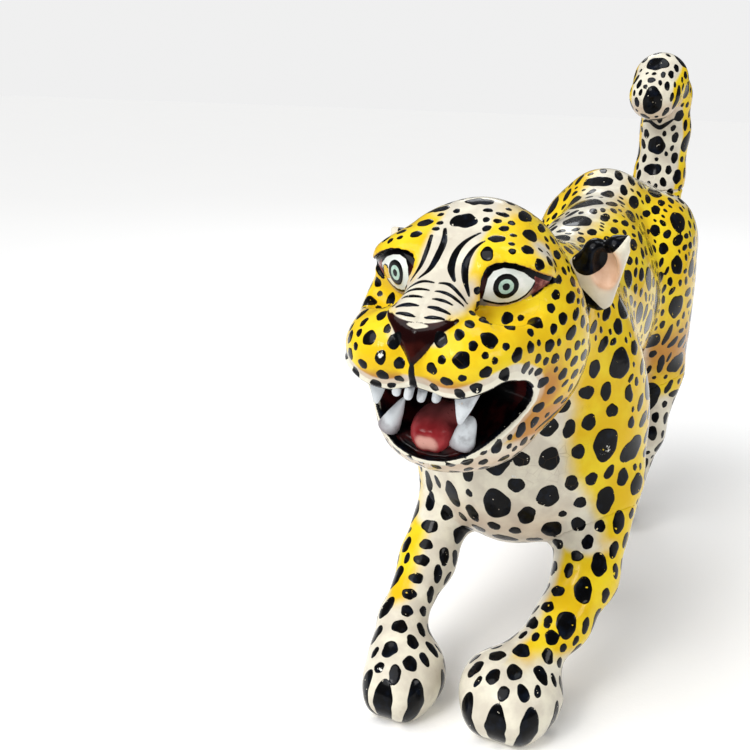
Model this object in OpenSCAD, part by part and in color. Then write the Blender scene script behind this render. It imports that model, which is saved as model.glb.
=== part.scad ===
// Standing big cat figure, put together from carved wooden blocks.
// The animal faces -Y, its left side is +X, and it stands on z = 0. Millimetres.
// Each carved block is a smooth melt of eggs and tapered rods, sampled along a spine,
// and the joint faces, bores, pegs and teeth are exact.

/* [Torso] */
// Chest: centre
chest_at = [0, -88, 168]; // [-300:1:400]
// Chest: half sizes
chest_size = [56, 80, 84]; // [5:1:200]
// Shoulder on each side: centre
shoulder_at = [40, -98, 146]; // [-300:1:400]
// Shoulder: half sizes
shoulder_size = [31, 46, 64]; // [5:1:200]
// Brisket between the forelegs: centre
brisket_at = [0, -118, 120]; // [-300:1:400]
// Brisket: radius
brisket_r = 42; // [20:1:60]
// Belly: centre
belly_at = [-3, 35, 190]; // [-300:1:400]
// Belly: half sizes
belly_size = [48, 120, 66]; // [5:1:200]
// Rump: centre
rump_at = [-8, 165, 198]; // [-300:1:400]
// Rump: half sizes
rump_size = [50, 84, 58]; // [5:1:200]
// Spine ridge: front end
ridge_front = [-6, 60, 232]; // [-300:1:400]
// Spine ridge: highest point
ridge_top = [-16, 135, 246]; // [-300:1:400]
// Spine ridge: rear end
ridge_rear = [-6, 215, 236]; // [-300:1:400]
// Spine ridge: radius at front, top and rear
ridge_r = [20, 26, 24]; // [5:1:60]
// Left hip: centre
hip_left_at = [26, 165, 212]; // [-300:1:400]
// Right hip: centre
hip_right_at = [-42, 150, 215]; // [-300:1:400]
// Hip: half sizes
hip_size = [26, 62, 42]; // [5:1:200]
// Left haunch: centre
haunch_left_at = [32, 142, 158]; // [-300:1:400]
// Right haunch: centre
haunch_right_at = [-40, 138, 158]; // [-300:1:400]
// Haunch: half sizes
haunch_size = [24, 46, 62]; // [5:1:200]
// Neck: end in the chest
neck_low = [0, -110, 205]; // [-300:1:400]
// Neck: end in the skull
neck_high = [0, -178, 232]; // [-300:1:400]
// Neck: radius at both ends
neck_r = [48, 44]; // [5:1:60]

/* [Head] */
// Skull: centre
skull_at = [0, -204, 248]; // [-300:1:400]
// Skull: half sizes
skull_size = [46, 54, 46]; // [5:1:100]
// Cheek on each side: centre
cheek_at = [35, -206, 222]; // [-300:1:400]
// Cheek: half sizes
cheek_size = [22.5, 40, 34]; // [5:1:100]
// Roll under the eye: centre
roll_at = [32, -236, 232]; // [-300:1:400]
// Roll under the eye: half sizes
roll_size = [15, 34, 17]; // [5:1:100]
// Brow: centre
brow_at = [27, -232, 269]; // [-300:1:400]
// Brow: half sizes
brow_size = [18, 14, 9]; // [5:1:100]
// Muzzle pad: centre
pad_at = [17.5, -262, 230]; // [-300:1:400]
// Muzzle pad: half sizes
pad_size = [23, 26, 19]; // [5:1:100]
// Nose bridge: upper end
bridge_top = [5, -236, 261]; // [-300:1:400]
// Nose bridge: lower end
bridge_tip = [6, -270, 246.5]; // [-300:0.5:400]
// Nose bridge: radius at both ends
bridge_r = [11, 10]; // [5:1:20]
// Middle of the muzzle, over the parting of the lip: centre
lip_at = [0, -264, 227]; // [-300:1:400]
// Middle of the muzzle: half sizes
lip_size = [11, 23, 12]; // [5:1:100]
// Flat of the forehead: a point on it
forehead_at = [0, -222, 286.5]; // [-300:0.5:400]
// Flat of the forehead: direction it faces
forehead_normal = [0, -0.547, 0.837]; // [-1:0.001:1]
// Chin: centre
chin_at = [0, -233, 183]; // [-300:1:400]
// Chin: half sizes
chin_size = [31, 30, 17]; // [5:1:100]
// Jaw: centre
jaw_at = [0, -222, 192]; // [-300:1:400]
// Jaw: half sizes
jaw_size = [42, 40, 27]; // [5:1:100]
// Nose: half width at the top
nose_w = 17; // [8:1:24]
// Nose: heights of the bottom corner and the top edge
nose_z = [228.5, 249]; // [200:0.5:280]
// Nose: foremost point
nose_front = -288; // [-320:1:-260]
// Gape of the mouth: centre of its upper line
gape_at = [0, -246, 219]; // [-300:1:400]
// Gape of the mouth: half width, depth behind that centre, and height
gape_size = [43, 28, 42]; // [5:1:100]
// How far the two halves of the upper lip hang below its middle
lip_drop = 7; // [0:0.5:12]
// Eye lens: centre
eye_at = [26, -237, 261]; // [-300:1:400]
// Eye lens: half sizes
eye_size = [20, 7, 12]; // [5:0.5:30]
// Opening between the lids: how far its centre lies in front of the lens
lid_out = 9; // [4:0.5:16]
// Opening between the lids: half sizes
lid_size = [18.5, 10, 10.5]; // [5:0.5:30]
// Tongue: centre
tongue_at = [-1.5, -243, 187.5]; // [-300:1:400]
// Tongue: half sizes
tongue_size = [13.5, 23, 12.5]; // [5:0.5:40]

/* [Ears] */
// Seat of the ear on the side of the neck
ear_seat = [35.3, -160, 246.9]; // [-300:0.1:400]
// Direction in which the ear pulls off, degrees above the side
ear_tilt = 32; // [0:1:60]
// Ear shell: centre
ear_at = [52, -160, 254]; // [-300:1:400]
// Ear shell: half sizes
ear_size = [15, 8.5, 22]; // [4:0.5:40]
// Ear root: centre
ear_root_at = [44, -159, 248]; // [-300:1:400]
// Ear root: half sizes
ear_root_size = [12, 8, 17]; // [4:0.5:40]
// Ear hollow: centre
ear_hollow_at = [57, -168, 256]; // [-300:1:400]
// Ear hollow: half sizes
ear_hollow_size = [9, 8.5, 14]; // [4:0.5:40]

/* [Legs] */
// Left foreleg: joint end, elbow, shin and wrist
fore_left = [[47, -108, 118], [51, -136, 70], [45, -160, 50], [36, -178, 38]];
// Left foreleg: radii at those points
fore_left_r = [27, 18, 15, 14]; // [8:0.5:40]
// Left fore paw: centre
paw_left_at = [27, -197, 19]; // [-300:1:400]
// Left fore paw: half sizes
paw_left_size = [29.5, 32, 24]; // [8:0.5:60]
// Right foreleg: joint end, elbow, shin and wrist
fore_right = [[-38, -110, 115], [-44, -148, 64], [-46, -182, 40], [-43, -194, 32]];
// Right foreleg: radii at those points
fore_right_r = [20, 16, 12.5, 13]; // [8:0.5:40]
// Right fore paw: centre
paw_right_at = [-35, -203, 17]; // [-300:1:400]
// Right fore paw: half sizes
paw_right_size = [23.5, 31, 22]; // [8:0.5:60]
// Left hind leg: joint end, knee and ankle
hind_left = [[32, 140, 120], [32, 122, 74], [25, 126, 36]];
// Right hind leg: joint end, knee and ankle
hind_right = [[-40, 140, 120], [-34, 122, 74], [-25, 126, 36]];
// Hind leg: radii at those points
hind_r = [24, 15, 12.5]; // [8:0.5:40]
// Hind foot: centre, on each side
foot_at = [20, 108, 16]; // [-300:1:400]
// Hind foot: half sizes
foot_size = [15.5, 28, 20]; // [8:0.5:60]

/* [Tail] */
// Tail root, inside the rump
tail_root = [1, 245, 225]; // [-300:1:400]
// Tail: points from the seat over the curl
tail_line = [[2, 262, 262], [4, 262, 300], [3, 254, 330], [1, 238, 343], [0, 223, 331]];
// Tail: radii at the root and at those points
tail_r = [23, 21, 20, 20.5, 20.5, 20.5]; // [8:0.5:40]
// Height of the flat seat of the tail
tail_seat = 252; // [230:1:270]
// Clearing in the rump round the foot of the tail: centre
tail_clear_at = [2, 258]; // [-300:1:400]
// Clearing in the rump round the foot of the tail: radius
tail_clear_r = 27; // [20:0.5:40]

/* [Joints] */
// Middle of the neck joint
neck_joint = [0, -154, 222.6]; // [-300:0.1:400]
// Slope of the neck joint face, degrees from upright
neck_slope = 30.7; // [0:0.1:60]
// Middle of the left foreleg joint
fore_joint_left = [48, -122, 96]; // [-300:1:400]
// Middle of the right foreleg joint
fore_joint_right = [-42, -122, 94]; // [-300:1:400]
// Outward direction of the foreleg joint, on the left side
fore_normal = [0.55, -0.30, -0.78]; // [-1:0.01:1]
// Middle of the left hind leg joint
hind_joint_left = [32, 136, 108]; // [-300:1:400]
// Middle of the right hind leg joint
hind_joint_right = [-38, 136, 108]; // [-300:1:400]
// Outward direction of the hind leg joint, on the left side
hind_normal = [0.50, -0.10, -0.86]; // [-1:0.01:1]
// Leg dowels: radius
leg_dowel_r = 3; // [2:0.5:6]
// Leg dowels: length
leg_dowel_h = 28; // [10:1:60]
// Leg dowels: spacing of the pair
leg_dowel_gap = 16; // [8:1:30]
// Neck dowels: radius
neck_dowel_r = 5; // [2:0.5:10]
// Neck dowels: length
neck_dowel_h = 46; // [10:1:80]
// Neck dowels: spacing of the pair
neck_dowel_gap = 40; // [10:1:60]
// Tail peg: place of its axis
tail_peg_at = [2, 256]; // [-300:1:400]
// Tail peg: radius
tail_peg_r = 7; // [4:0.5:14]
// Tail peg: length below and above the seat
tail_peg_h = [25, 32]; // [10:1:60]
// Ear pegs: radius
ear_peg_r = 3.5; // [2:0.5:6]
// Ear pegs: length below and above the seat
ear_peg_h = [16, 10]; // [5:1:30]
// Radial play of a peg in its bore
play = 0.05; // [0.01:0.01:0.1]
// Room left at the bottom of each bore
bore_room = 1; // [0.5:0.5:3]
// Gap round an ear in its shallow recess
recess_gap = 0.5; // [0.3:0.1:1]

/* [Hidden] */
far = 800;
leg_cut = 120;
steps = 10;
around = 32;
neck_normal = [0, -cos(neck_slope), sin(neck_slope)];
ear_axis = [cos(ear_tilt), 0, sin(ear_tilt)];
eye_turn = [12, -16, 34];
brow_turn = [0, 12, 28];
paw_left_turn = [6, 0, 10];
paw_right_turn = [6, 0, 4];
// Width of the fillet where forms melt together
melt_first = 1;
melt_lip = 4;
melt_tail = 6;
melt_face = 8;
melt_knee = 10;
melt_brow = 11;
melt_leg = 12;
melt_jaw = 14;
melt_hip = 16;
melt_haunch = 20;
melt_shoulder = 22;
melt_rump = 26;
melt_neck = 28;
melt_belly = 34;
// Spines that the skins are sampled round
torso_spine = [[0, -118, 176], [-6, 214, 208]];
head_core = [0, -214, 232];
gape_core = [0, -262, 203];
tail_spine_z = 236;
tail_spine_end = [[3.6, 259, 308], [3, 254, 316], [2.6, 248, 322]];
paw_back = [0, 8, 1];
elbow_left_in = [-1, 7, 12];
elbow_right_in = [1, 8, 12];
ankle_back = [1, 6, 8];
ear_turn = [10, -18, -25];
hip_turn = [8, 0, 0];
haunch_turn = [10, 0, 0];
// Teeth as [middle of the base, tip, radius at the base, radius at the tip]
upper_canine_l = [[21.5, -271, 219], [20, -277, 203.3], 7.2, 1.4];
upper_canine_r = [[-24.5, -267, 219], [-24, -271, 204], 6, 1.3];
lower_canine_l = [[15.5, -252, 180], [20.5, -256, 197], 7.6, 4];
lower_canine_r = [[-25, -252, 184], [-15, -258, 204.5], 7.2, 1.2];
incisor = [[2, -276, 222], [2, -280, 211], 2.9, 1.9];
incisor_step = 6.5;
tooth_root_r = 2;
tooth_root_h = 6;
// Rotates row vectors by the three angles, X first
function turn(t) =
    let(cx = cos(t.x), sx = sin(t.x), cy = cos(t.y), sy = sin(t.y), cz = cos(t.z), sz = sin(t.z))
    [[cz * cy, cz * sy * sx - sz * cx, cz * sy * cx + sz * sx],
     [sz * cy, sz * sy * sx + cz * cx, sz * sy * cx - cz * sx],
     [-sy, cy * sx, cy * cx]];
function flip(v) = [-v.x, v.y, v.z];
function unit(v) = v / norm(v);
function outward(v, s) = [s * v.x, v.y, v.z];
function mirror_turn(t, s) = [t.x, s * t.y, s * t.z];
function dowel_room(grow) = grow > 0 ? 2 * bore_room : 0;
// Signed distance, about: negative inside. An egg is [blend, centre, half sizes, rotation].
function egg_field(q, s) =
    let(a = [q.x / s.x, q.y / s.y, q.z / s.z], n = norm(a), m = norm([a.x / s.x, a.y / s.y, a.z / s.z]))
    n * (n - 1) / max(m, 0.00001);
function in_egg(p, e) = egg_field(is_undef(e[3]) ? p - e[1] : (p - e[1]) * e[3], e[2]);
// A rod is [blend, start, end, [start radius, end radius], true].
function in_rod(p, e) =
    let(ab = e[2] - e[1], t = min(1, max(0, (p - e[1]) * ab / (ab * ab))))
    norm(p - e[1] - t * ab) - (e[3][0] + (e[3][1] - e[3][0]) * t);
function melt(a, b, k) =
    let(h = min(1, max(0, 0.5 + 0.5 * (b - a) / k)))
    b + (a - b) * h - k * h * (1 - h);
function carve(a, b, k) = -melt(-a, -b, k);
function form(p, list, i = 0, d = 1000) =
    i == len(list) ? d
    : form(p, list, i + 1, melt(d, len(list[i]) == 5 ? in_rod(p, list[i]) : in_egg(p, list[i]), list[i][0]));
// A chain of rods through the points
function chain(points, radii, first, k) =
    [for (i = [0:len(points) - 2])
        [i == 0 ? first : k, points[i], points[i + 1], [radii[i], radii[i + 1]], true]];

// The melted forms
chest_forms = [
    [melt_first, chest_at, chest_size],
    [melt_shoulder, shoulder_at, shoulder_size],
    [melt_shoulder, flip(shoulder_at), shoulder_size],
    [melt_shoulder, brisket_at, [brisket_r, brisket_r, brisket_r]]];
neck_forms = [[melt_neck, neck_low, neck_high, neck_r, true]];
rear_forms = [
    [melt_belly, belly_at, belly_size],
    [melt_rump, rump_at, rump_size],
    [melt_rump, ridge_front, ridge_top, [ridge_r[0], ridge_r[1]], true],
    [melt_haunch, ridge_top, ridge_rear, [ridge_r[1], ridge_r[2]], true],
    [melt_hip, hip_right_at, hip_size, turn(hip_turn)],
    [melt_hip, hip_left_at, hip_size, turn(hip_turn)],
    [melt_haunch, haunch_left_at, haunch_size, turn(haunch_turn)],
    [melt_haunch, haunch_right_at, haunch_size, turn(haunch_turn)]];
fore_left_forms = concat(
    chain(fore_left, fore_left_r, melt_leg, melt_face),
    [[melt_leg, paw_left_at, paw_left_size, turn(paw_left_turn)]]);
fore_right_forms = concat(
    chain(fore_right, fore_right_r, melt_leg, melt_face),
    [[melt_leg, paw_right_at, paw_right_size, turn(paw_right_turn)]]);
hind_left_forms = concat(chain(hind_left, hind_r, melt_leg, melt_knee), [[melt_leg, foot_at, foot_size]]);
hind_right_forms = concat(chain(hind_right, hind_r, melt_leg, melt_knee), [[melt_leg, flip(foot_at), foot_size]]);
tail_forms = chain(concat([tail_root], tail_line), tail_r, melt_tail, melt_tail);
head_forms = concat(
    [[melt_first, skull_at, skull_size]],
    [for (s = [1, -1]) [melt_haunch, outward(cheek_at, s), cheek_size]],
    [for (s = [1, -1]) [melt_knee, outward(roll_at, s), roll_size]],
    [for (s = [1, -1]) [melt_brow, outward(brow_at, s), brow_size, turn(mirror_turn(brow_turn, s))]],
    [for (s = [1, -1]) [melt_face, outward(bridge_top, s), outward(bridge_tip, s), bridge_r, true]],
    [for (s = [1, -1]) [melt_face, outward(pad_at, s), pad_size]],
    [[melt_lip, lip_at, lip_size]],
    [[melt_face, chin_at, chin_size]],
    [[melt_jaw, jaw_at, jaw_size]]);
function gape_field(p) =
    let(
        open = egg_field([p.x, max(p.y, gape_at.y) - gape_at.y, p.z - gape_at.z], gape_size),
        sag = lip_drop * (1 - exp(-pow(p.x / 9, 2))),
        rise = 0.24 * max(0, p.y + 278),
        roof = p.z - (gape_at.z + 1.5 - sag + rise))
    carve(carve(open, roof, 12), -(p.y + 310), 2);

// Where a ray from o along v leaves the form
function leave(o, v, list, lo, hi, n) =
    n == 0 ? o + v * (lo + hi) / 2
    : let(mid = (lo + hi) / 2, inside = (is_undef(list) ? gape_field(o + v * mid) : form(o + v * mid, list)) < 0)
      inside ? leave(o, v, list, mid, hi, n - 1) : leave(o, v, list, lo, mid, n - 1);
// Unit vector at angle a round the axis t, tipped back by b degrees from square to it
function spoke(t, side, a, b) =
    let(u = unit(cross(t, side)), w = cross(u, t))
    (u * cos(a) + w * sin(a)) * cos(b) + t * sin(b);
// Closed skin over a form, sampled round a spine, with a fan of rows over each end
module skin(spine, list, side, reach, n = around, fan = 7) {
    last = len(spine) - 1;
    tangents = [for (i = [0:last]) unit(spine[min(last, i + 1)] - spine[max(0, i - 1)])];
    rows = concat(
        [for (k = [fan - 1:-1:1]) [0, -90 * k / fan]],
        [for (i = [0:last]) [i, 0]],
        [for (k = [1:fan - 1]) [last, 90 * k / fan]]);
    points = concat(
        [leave(spine[0], -tangents[0], list, 0, reach, steps)],
        [for (r = rows) for (j = [0:n - 1])
            leave(spine[r[0]], spoke(tangents[r[0]], side, 360 * j / n, r[1]), list, 0, reach, steps)],
        [leave(spine[last], tangents[last], list, 0, reach, steps)]);
    m = len(rows);
    faces = concat(
        [for (j = [0:n - 1]) [0, 1 + (j + 1) % n, 1 + j]],
        [for (i = [0:m - 2]) for (j = [0:n - 1])
            let(a = 1 + i * n + j, b = 1 + i * n + (j + 1) % n) [a, b, a + n]],
        [for (i = [0:m - 2]) for (j = [0:n - 1])
            let(a = 1 + i * n + j, b = 1 + i * n + (j + 1) % n) [b, b + n, a + n]],
        [for (j = [0:n - 1]) [1 + m * n, 1 + (m - 1) * n + j, 1 + (m - 1) * n + (j + 1) % n]]);
    polyhedron(points, faces, 4);
}
// Straight spine in equal steps
function straight(a, b, n) = [for (i = [0:n]) a + (b - a) * i / n];
// Spine with extra points between the given ones
function finer(points, n) = concat(
    [for (i = [0:len(points) - 2]) for (k = [0:n - 1]) points[i] + (points[i + 1] - points[i]) * k / n],
    [points[len(points) - 1]]);
// Turns +Z to the direction v, at the point at
module aim(at, v) {
    translate(at)
        rotate([0, acos(v.z / norm(v)), atan2(v.y, v.x)])
            children();
}
// Everything on the far side of a joint face, out to a given width
module beyond(at, v, width = far) {
    aim(at, v)
        translate([-width / 2, -width / 2, 0])
            cube(width);
}
// Two parallel rods across a joint face
module pair(at, v, r, h, gap, side) {
    across = unit(cross(v, side)) * gap / 2;
    for (s = [1, -1])
        aim(at + s * across - unit(v) * h / 2, v)
            cylinder(r = r, h = h, $fn = 48);
}
module fore_dowels(s, grow = 0) {
    at = s > 0 ? fore_joint_left : fore_joint_right;
    pair(at, outward(fore_normal, s), leg_dowel_r + grow, leg_dowel_h + dowel_room(grow), leg_dowel_gap, [1, 0, 0]);
}
module hind_dowels(s, grow = 0) {
    at = s > 0 ? hind_joint_left : hind_joint_right;
    pair(at, outward(hind_normal, s), leg_dowel_r + grow, leg_dowel_h + dowel_room(grow), leg_dowel_gap, [1, 0, 0]);
}
module neck_pair(grow = 0) {
    pair(neck_joint, neck_normal, neck_dowel_r + grow, neck_dowel_h + dowel_room(grow), neck_dowel_gap,
        [0, neck_normal.z, -neck_normal.y]);
}
module tail_bore() {
    translate([tail_peg_at.x, tail_peg_at.y, tail_seat - tail_peg_h[0] - bore_room])
        cylinder(r = tail_peg_r + play, h = tail_peg_h[0] + bore_room + 1, $fn = 64);
}
module mirrored(s) {
    mirror([s > 0 ? 0 : 1, 0, 0])
        children();
}

// Torso
module torso() {
    forms = concat(chest_forms, neck_forms, rear_forms,
        [[melt_leg, fore_left[0], fore_left[1], [fore_left_r[0], fore_left_r[1]], true],
         [melt_leg, fore_right[0], fore_right[1], [fore_right_r[0], fore_right_r[1]], true],
         [melt_leg, hind_left[0], hind_left[1], [hind_r[0], hind_r[1]], true],
         [melt_leg, hind_right[0], hind_right[1], [hind_r[0], hind_r[1]], true],
         [melt_tail, tail_root, tail_line[0], [tail_r[0], tail_r[1]], true]]);
    color("Gold")
        difference() {
            skin(straight(torso_spine[0], torso_spine[1], 36), forms, [1, 0, 0], 170, 40, 8);
            beyond(neck_joint, neck_normal);
            for (s = [1, -1]) {
                beyond(s > 0 ? fore_joint_left : fore_joint_right, outward(fore_normal, s), leg_cut);
                beyond(s > 0 ? hind_joint_left : hind_joint_right, outward(hind_normal, s), leg_cut);
                fore_dowels(s, play);
                hind_dowels(s, play);
            }
            neck_pair(play);
            translate([tail_clear_at.x, tail_clear_at.y, tail_seat])
                cylinder(r = tail_clear_r, h = 60, $fn = 64);
            tail_bore();
        }
}

// Head
module nose() {
    back = nose_front + 26;
    points = [
        [-nose_w, nose_front + 3, nose_z[1]], [nose_w, nose_front + 3, nose_z[1]], [0, nose_front, nose_z[0]],
        [-nose_w, back, nose_z[1] + 1], [nose_w, back, nose_z[1] + 1], [0, back, nose_z[0] + 2]];
    polyhedron(points, [[0, 1, 2], [4, 3, 5], [0, 3, 4], [0, 4, 1], [1, 4, 5], [1, 5, 2], [2, 5, 3], [2, 3, 0]]);
}
module eye(s) {
    at = outward(eye_at, s);
    skin([at + [0, 0.5, 0], at - [0, 0.5, 0]], [[melt_first, at, eye_size, turn(mirror_turn(eye_turn, s))]],
        [1, 0, 0], 40, 20, 5);
}
// Hollow in front of the lens that leaves the lids standing round it
module eye_opening(s) {
    round_about = turn(mirror_turn(eye_turn, s));
    at = outward(eye_at, s) + round_about * [0, -lid_out, 0];
    skin([at + [0, 0.5, 0], at - [0, 0.5, 0]], [[melt_first, at, lid_size, round_about]], [1, 0, 0], 40, 20, 5);
}
module tongue_form() {
    reach = [0, tongue_size.y / 2, 0];
    skin(straight(tongue_at + reach, tongue_at - reach, 3), [[melt_first, tongue_at, tongue_size]],
        [1, 0, 0], 40, 20, 4);
}
// Cone with a thin root let into the jaw
module tooth(t) {
    aim(t[0], t[1] - t[0]) {
        cylinder(r1 = t[2], r2 = t[3], h = norm(t[1] - t[0]), $fn = 32);
        translate([0, 0, -tooth_root_h])
            cylinder(r = tooth_root_r, h = tooth_root_h + 1, $fn = 24);
    }
}
// Incisors, counted from the right side of the mouth
module incisor_tooth(i) {
    translate([(i - 3) * incisor_step, 0, 0])
        tooth(incisor);
}
module all_teeth() {
    tooth(upper_canine_l);
    tooth(upper_canine_r);
    tooth(lower_canine_l);
    tooth(lower_canine_r);
    for (i = [1:4])
        incisor_tooth(i);
}
module ear_blank(grow = 0) {
    g = [grow, grow, grow];
    skin([ear_root_at, ear_at - [4, 0, 2]],
        [[melt_first, ear_root_at, ear_root_size + g], [melt_tail, ear_at, ear_size + g, turn(ear_turn)]],
        [0, 1, 0], 60, 20, 6);
}
module head() {
    color("Gold")
        difference() {
            union() {
                skin([head_core, head_core - [0, 2, 0]], concat(head_forms, neck_forms, [chest_forms[0]]),
                    [1, 0, 0], 120, 48, 14);
                nose();
            }
            beyond(neck_joint, -neck_normal);
            beyond(forehead_at, forehead_normal);
            skin([gape_core, gape_core - [0, 1, 0]], undef, [1, 0, 0], 90, 28, 6);
            for (s = [1, -1]) {
                eye(s);
                eye_opening(s);
            }
            tongue_form();
            all_teeth();
            neck_pair(play);
            for (s = [1, -1])
                mirrored(s) {
                    intersection() {
                        ear_blank(recess_gap);
                        beyond(ear_seat, ear_axis);
                    }
                    aim(ear_seat - ear_axis * (ear_peg_h[0] + bore_room), ear_axis)
                        cylinder(r = ear_peg_r + play, h = ear_peg_h[0] + bore_room + 1, $fn = 48);
                }
        }
}
module eye_left() {
    color("White")
        eye(1);
}
module eye_right() {
    color("White")
        eye(-1);
}
module tongue() {
    color("Crimson")
        difference() {
            tongue_form();
            tooth(lower_canine_l);
            tooth(lower_canine_r);
        }
}
module upper_canine_left() {
    color("White")
        tooth(upper_canine_l);
}
module upper_canine_right() {
    color("White")
        tooth(upper_canine_r);
}
module lower_canine_left() {
    color("White")
        tooth(lower_canine_l);
}
module lower_canine_right() {
    color("White")
        tooth(lower_canine_r);
}
module upper_incisor(i) {
    color("White")
        incisor_tooth(i);
}

// Ears
module ear() {
    difference() {
        intersection() {
            ear_blank();
            beyond(ear_seat, ear_axis);
        }
        skin([ear_hollow_at, ear_hollow_at + [0, -2, 0]],
            [[melt_first, ear_hollow_at, ear_hollow_size, turn(ear_turn)]], [1, 0, 0], 40, 16, 4);
        aim(ear_seat - ear_axis, ear_axis)
            cylinder(r = ear_peg_r, h = ear_peg_h[1] + 1, $fn = 48);
    }
}
module ear_peg() {
    aim(ear_seat - ear_axis * ear_peg_h[0], ear_axis)
        cylinder(r = ear_peg_r, h = ear_peg_h[0] + ear_peg_h[1], $fn = 48);
}
module ear_left() {
    color("Gold")
        ear();
}
module ear_right() {
    color("Gold")
        mirrored(-1)
            ear();
}
module ear_left_peg() {
    color("Tan")
        ear_peg();
}
module ear_right_peg() {
    color("Tan")
        mirrored(-1)
            ear_peg();
}

// Legs
module leg(spine, forms, at, normal, n) {
    color("Gold")
        difference() {
            skin(spine, forms, [0, 1, 0], 48, n, 6);
            beyond(at, -normal);
            translate([-far / 2, -far / 2, -far])
                cube(far);
            children();
        }
}
module foreleg_left() {
    leg(concat(finer([paw_left_at - paw_back, fore_left[3], fore_left[2], fore_left[1]], 4),
            straight(fore_left[1] + elbow_left_in, fore_left[0], 4)),
        concat(chest_forms, fore_left_forms), fore_joint_left, fore_normal, 24)
        fore_dowels(1, play);
}
module foreleg_right() {
    leg(concat(finer([paw_right_at - paw_back, fore_right[3], fore_right[2], fore_right[1]], 4),
            straight(fore_right[1] + elbow_right_in, fore_right[0], 4)),
        concat(chest_forms, fore_right_forms), fore_joint_right, outward(fore_normal, -1), 24)
        fore_dowels(-1, play);
}
module hindleg_left() {
    leg(finer([foot_at - paw_back, hind_left[2] - ankle_back, hind_left[2], hind_left[1], hind_left[0]], 4),
        concat(rear_forms, hind_left_forms), hind_joint_left, hind_normal, 22)
        hind_dowels(1, play);
}
module hindleg_right() {
    spine = [flip(foot_at) - paw_back, hind_right[2] - flip(ankle_back), hind_right[2], hind_right[1],
        hind_right[0]];
    leg(finer(spine, 4), concat(rear_forms, hind_right_forms), hind_joint_right, outward(hind_normal, -1), 22)
        hind_dowels(-1, play);
}
module foreleg_left_dowels() {
    color("Tan")
        fore_dowels(1);
}
module foreleg_right_dowels() {
    color("Tan")
        fore_dowels(-1);
}
module hindleg_left_dowels() {
    color("Tan")
        hind_dowels(1);
}
module hindleg_right_dowels() {
    color("Tan")
        hind_dowels(-1);
}
module neck_dowels() {
    color("Tan")
        neck_pair();
}

// Tail
module tail() {
    color("Gold")
        difference() {
            skin(concat(straight([tail_line[0].x, tail_line[0].y, tail_spine_z], tail_line[1], 9), tail_spine_end),
                tail_forms, [1, 0, 0], 60, 28, 9);
            translate([-far / 2, 0, tail_seat - far])
                cube(far);
            translate([tail_peg_at.x, tail_peg_at.y, tail_seat - 1])
                cylinder(r = tail_peg_r, h = tail_peg_h[1] + 1, $fn = 64);
        }
}
module tail_peg() {
    color("Tan")
        translate([tail_peg_at.x, tail_peg_at.y, tail_seat - tail_peg_h[0]])
            cylinder(r = tail_peg_r, h = tail_peg_h[0] + tail_peg_h[1], $fn = 64);
}

torso();
head();
foreleg_left();
foreleg_right();
hindleg_left();
hindleg_right();
neck_dowels();
foreleg_left_dowels();
foreleg_right_dowels();
hindleg_left_dowels();
hindleg_right_dowels();
tail();
tail_peg();
ear_left();
ear_right();
ear_left_peg();
ear_right_peg();
eye_left();
eye_right();
tongue();
upper_canine_left();
upper_canine_right();
lower_canine_left();
lower_canine_right();
upper_incisor(1);  // upper_incisor_1
upper_incisor(2);  // upper_incisor_2
upper_incisor(3);  // upper_incisor_3
upper_incisor(4);  // upper_incisor_4
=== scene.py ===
"""A carved, painted and varnished wooden big cat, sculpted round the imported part."""

import math

import bmesh
import bpy
import numpy as np
import openvdb
from mathutils import Matrix, Quaternion, Vector, kdtree


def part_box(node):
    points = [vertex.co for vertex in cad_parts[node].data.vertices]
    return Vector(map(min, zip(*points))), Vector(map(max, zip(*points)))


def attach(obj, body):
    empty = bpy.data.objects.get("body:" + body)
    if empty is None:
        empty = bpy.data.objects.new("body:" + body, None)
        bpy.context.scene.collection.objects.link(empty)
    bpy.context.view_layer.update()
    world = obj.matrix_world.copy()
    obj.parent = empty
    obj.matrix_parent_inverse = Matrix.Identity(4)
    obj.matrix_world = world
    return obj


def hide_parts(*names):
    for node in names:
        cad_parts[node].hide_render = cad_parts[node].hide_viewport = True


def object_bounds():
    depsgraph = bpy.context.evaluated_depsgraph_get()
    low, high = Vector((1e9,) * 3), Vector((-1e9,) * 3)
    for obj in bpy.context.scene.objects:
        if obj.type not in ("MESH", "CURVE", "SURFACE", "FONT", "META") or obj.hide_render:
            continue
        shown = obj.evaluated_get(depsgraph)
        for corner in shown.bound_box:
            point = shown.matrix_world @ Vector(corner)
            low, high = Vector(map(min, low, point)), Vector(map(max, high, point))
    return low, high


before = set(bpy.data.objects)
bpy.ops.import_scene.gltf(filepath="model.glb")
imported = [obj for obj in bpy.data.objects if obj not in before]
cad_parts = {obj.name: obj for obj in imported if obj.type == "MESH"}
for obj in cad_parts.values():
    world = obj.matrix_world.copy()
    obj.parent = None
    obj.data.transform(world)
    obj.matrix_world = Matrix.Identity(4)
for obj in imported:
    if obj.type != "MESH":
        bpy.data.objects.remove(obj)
CAD_LOW, CAD_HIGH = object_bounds()
MM = 0.001

# Shapes are signed distances in millimetres, in the part's own frame: negative is wood.


def blend_min(a, b, k):
    """Union of two shapes with a fillet of about k."""
    h = np.clip(0.5 + 0.5 * (b - a) / k, 0.0, 1.0)
    return b + (a - b) * h - k * h * (1.0 - h)


def blend_max(a, b, k):
    """Intersection of two shapes with a rounded edge of about k."""
    return -blend_min(-a, -b, k)


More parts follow.
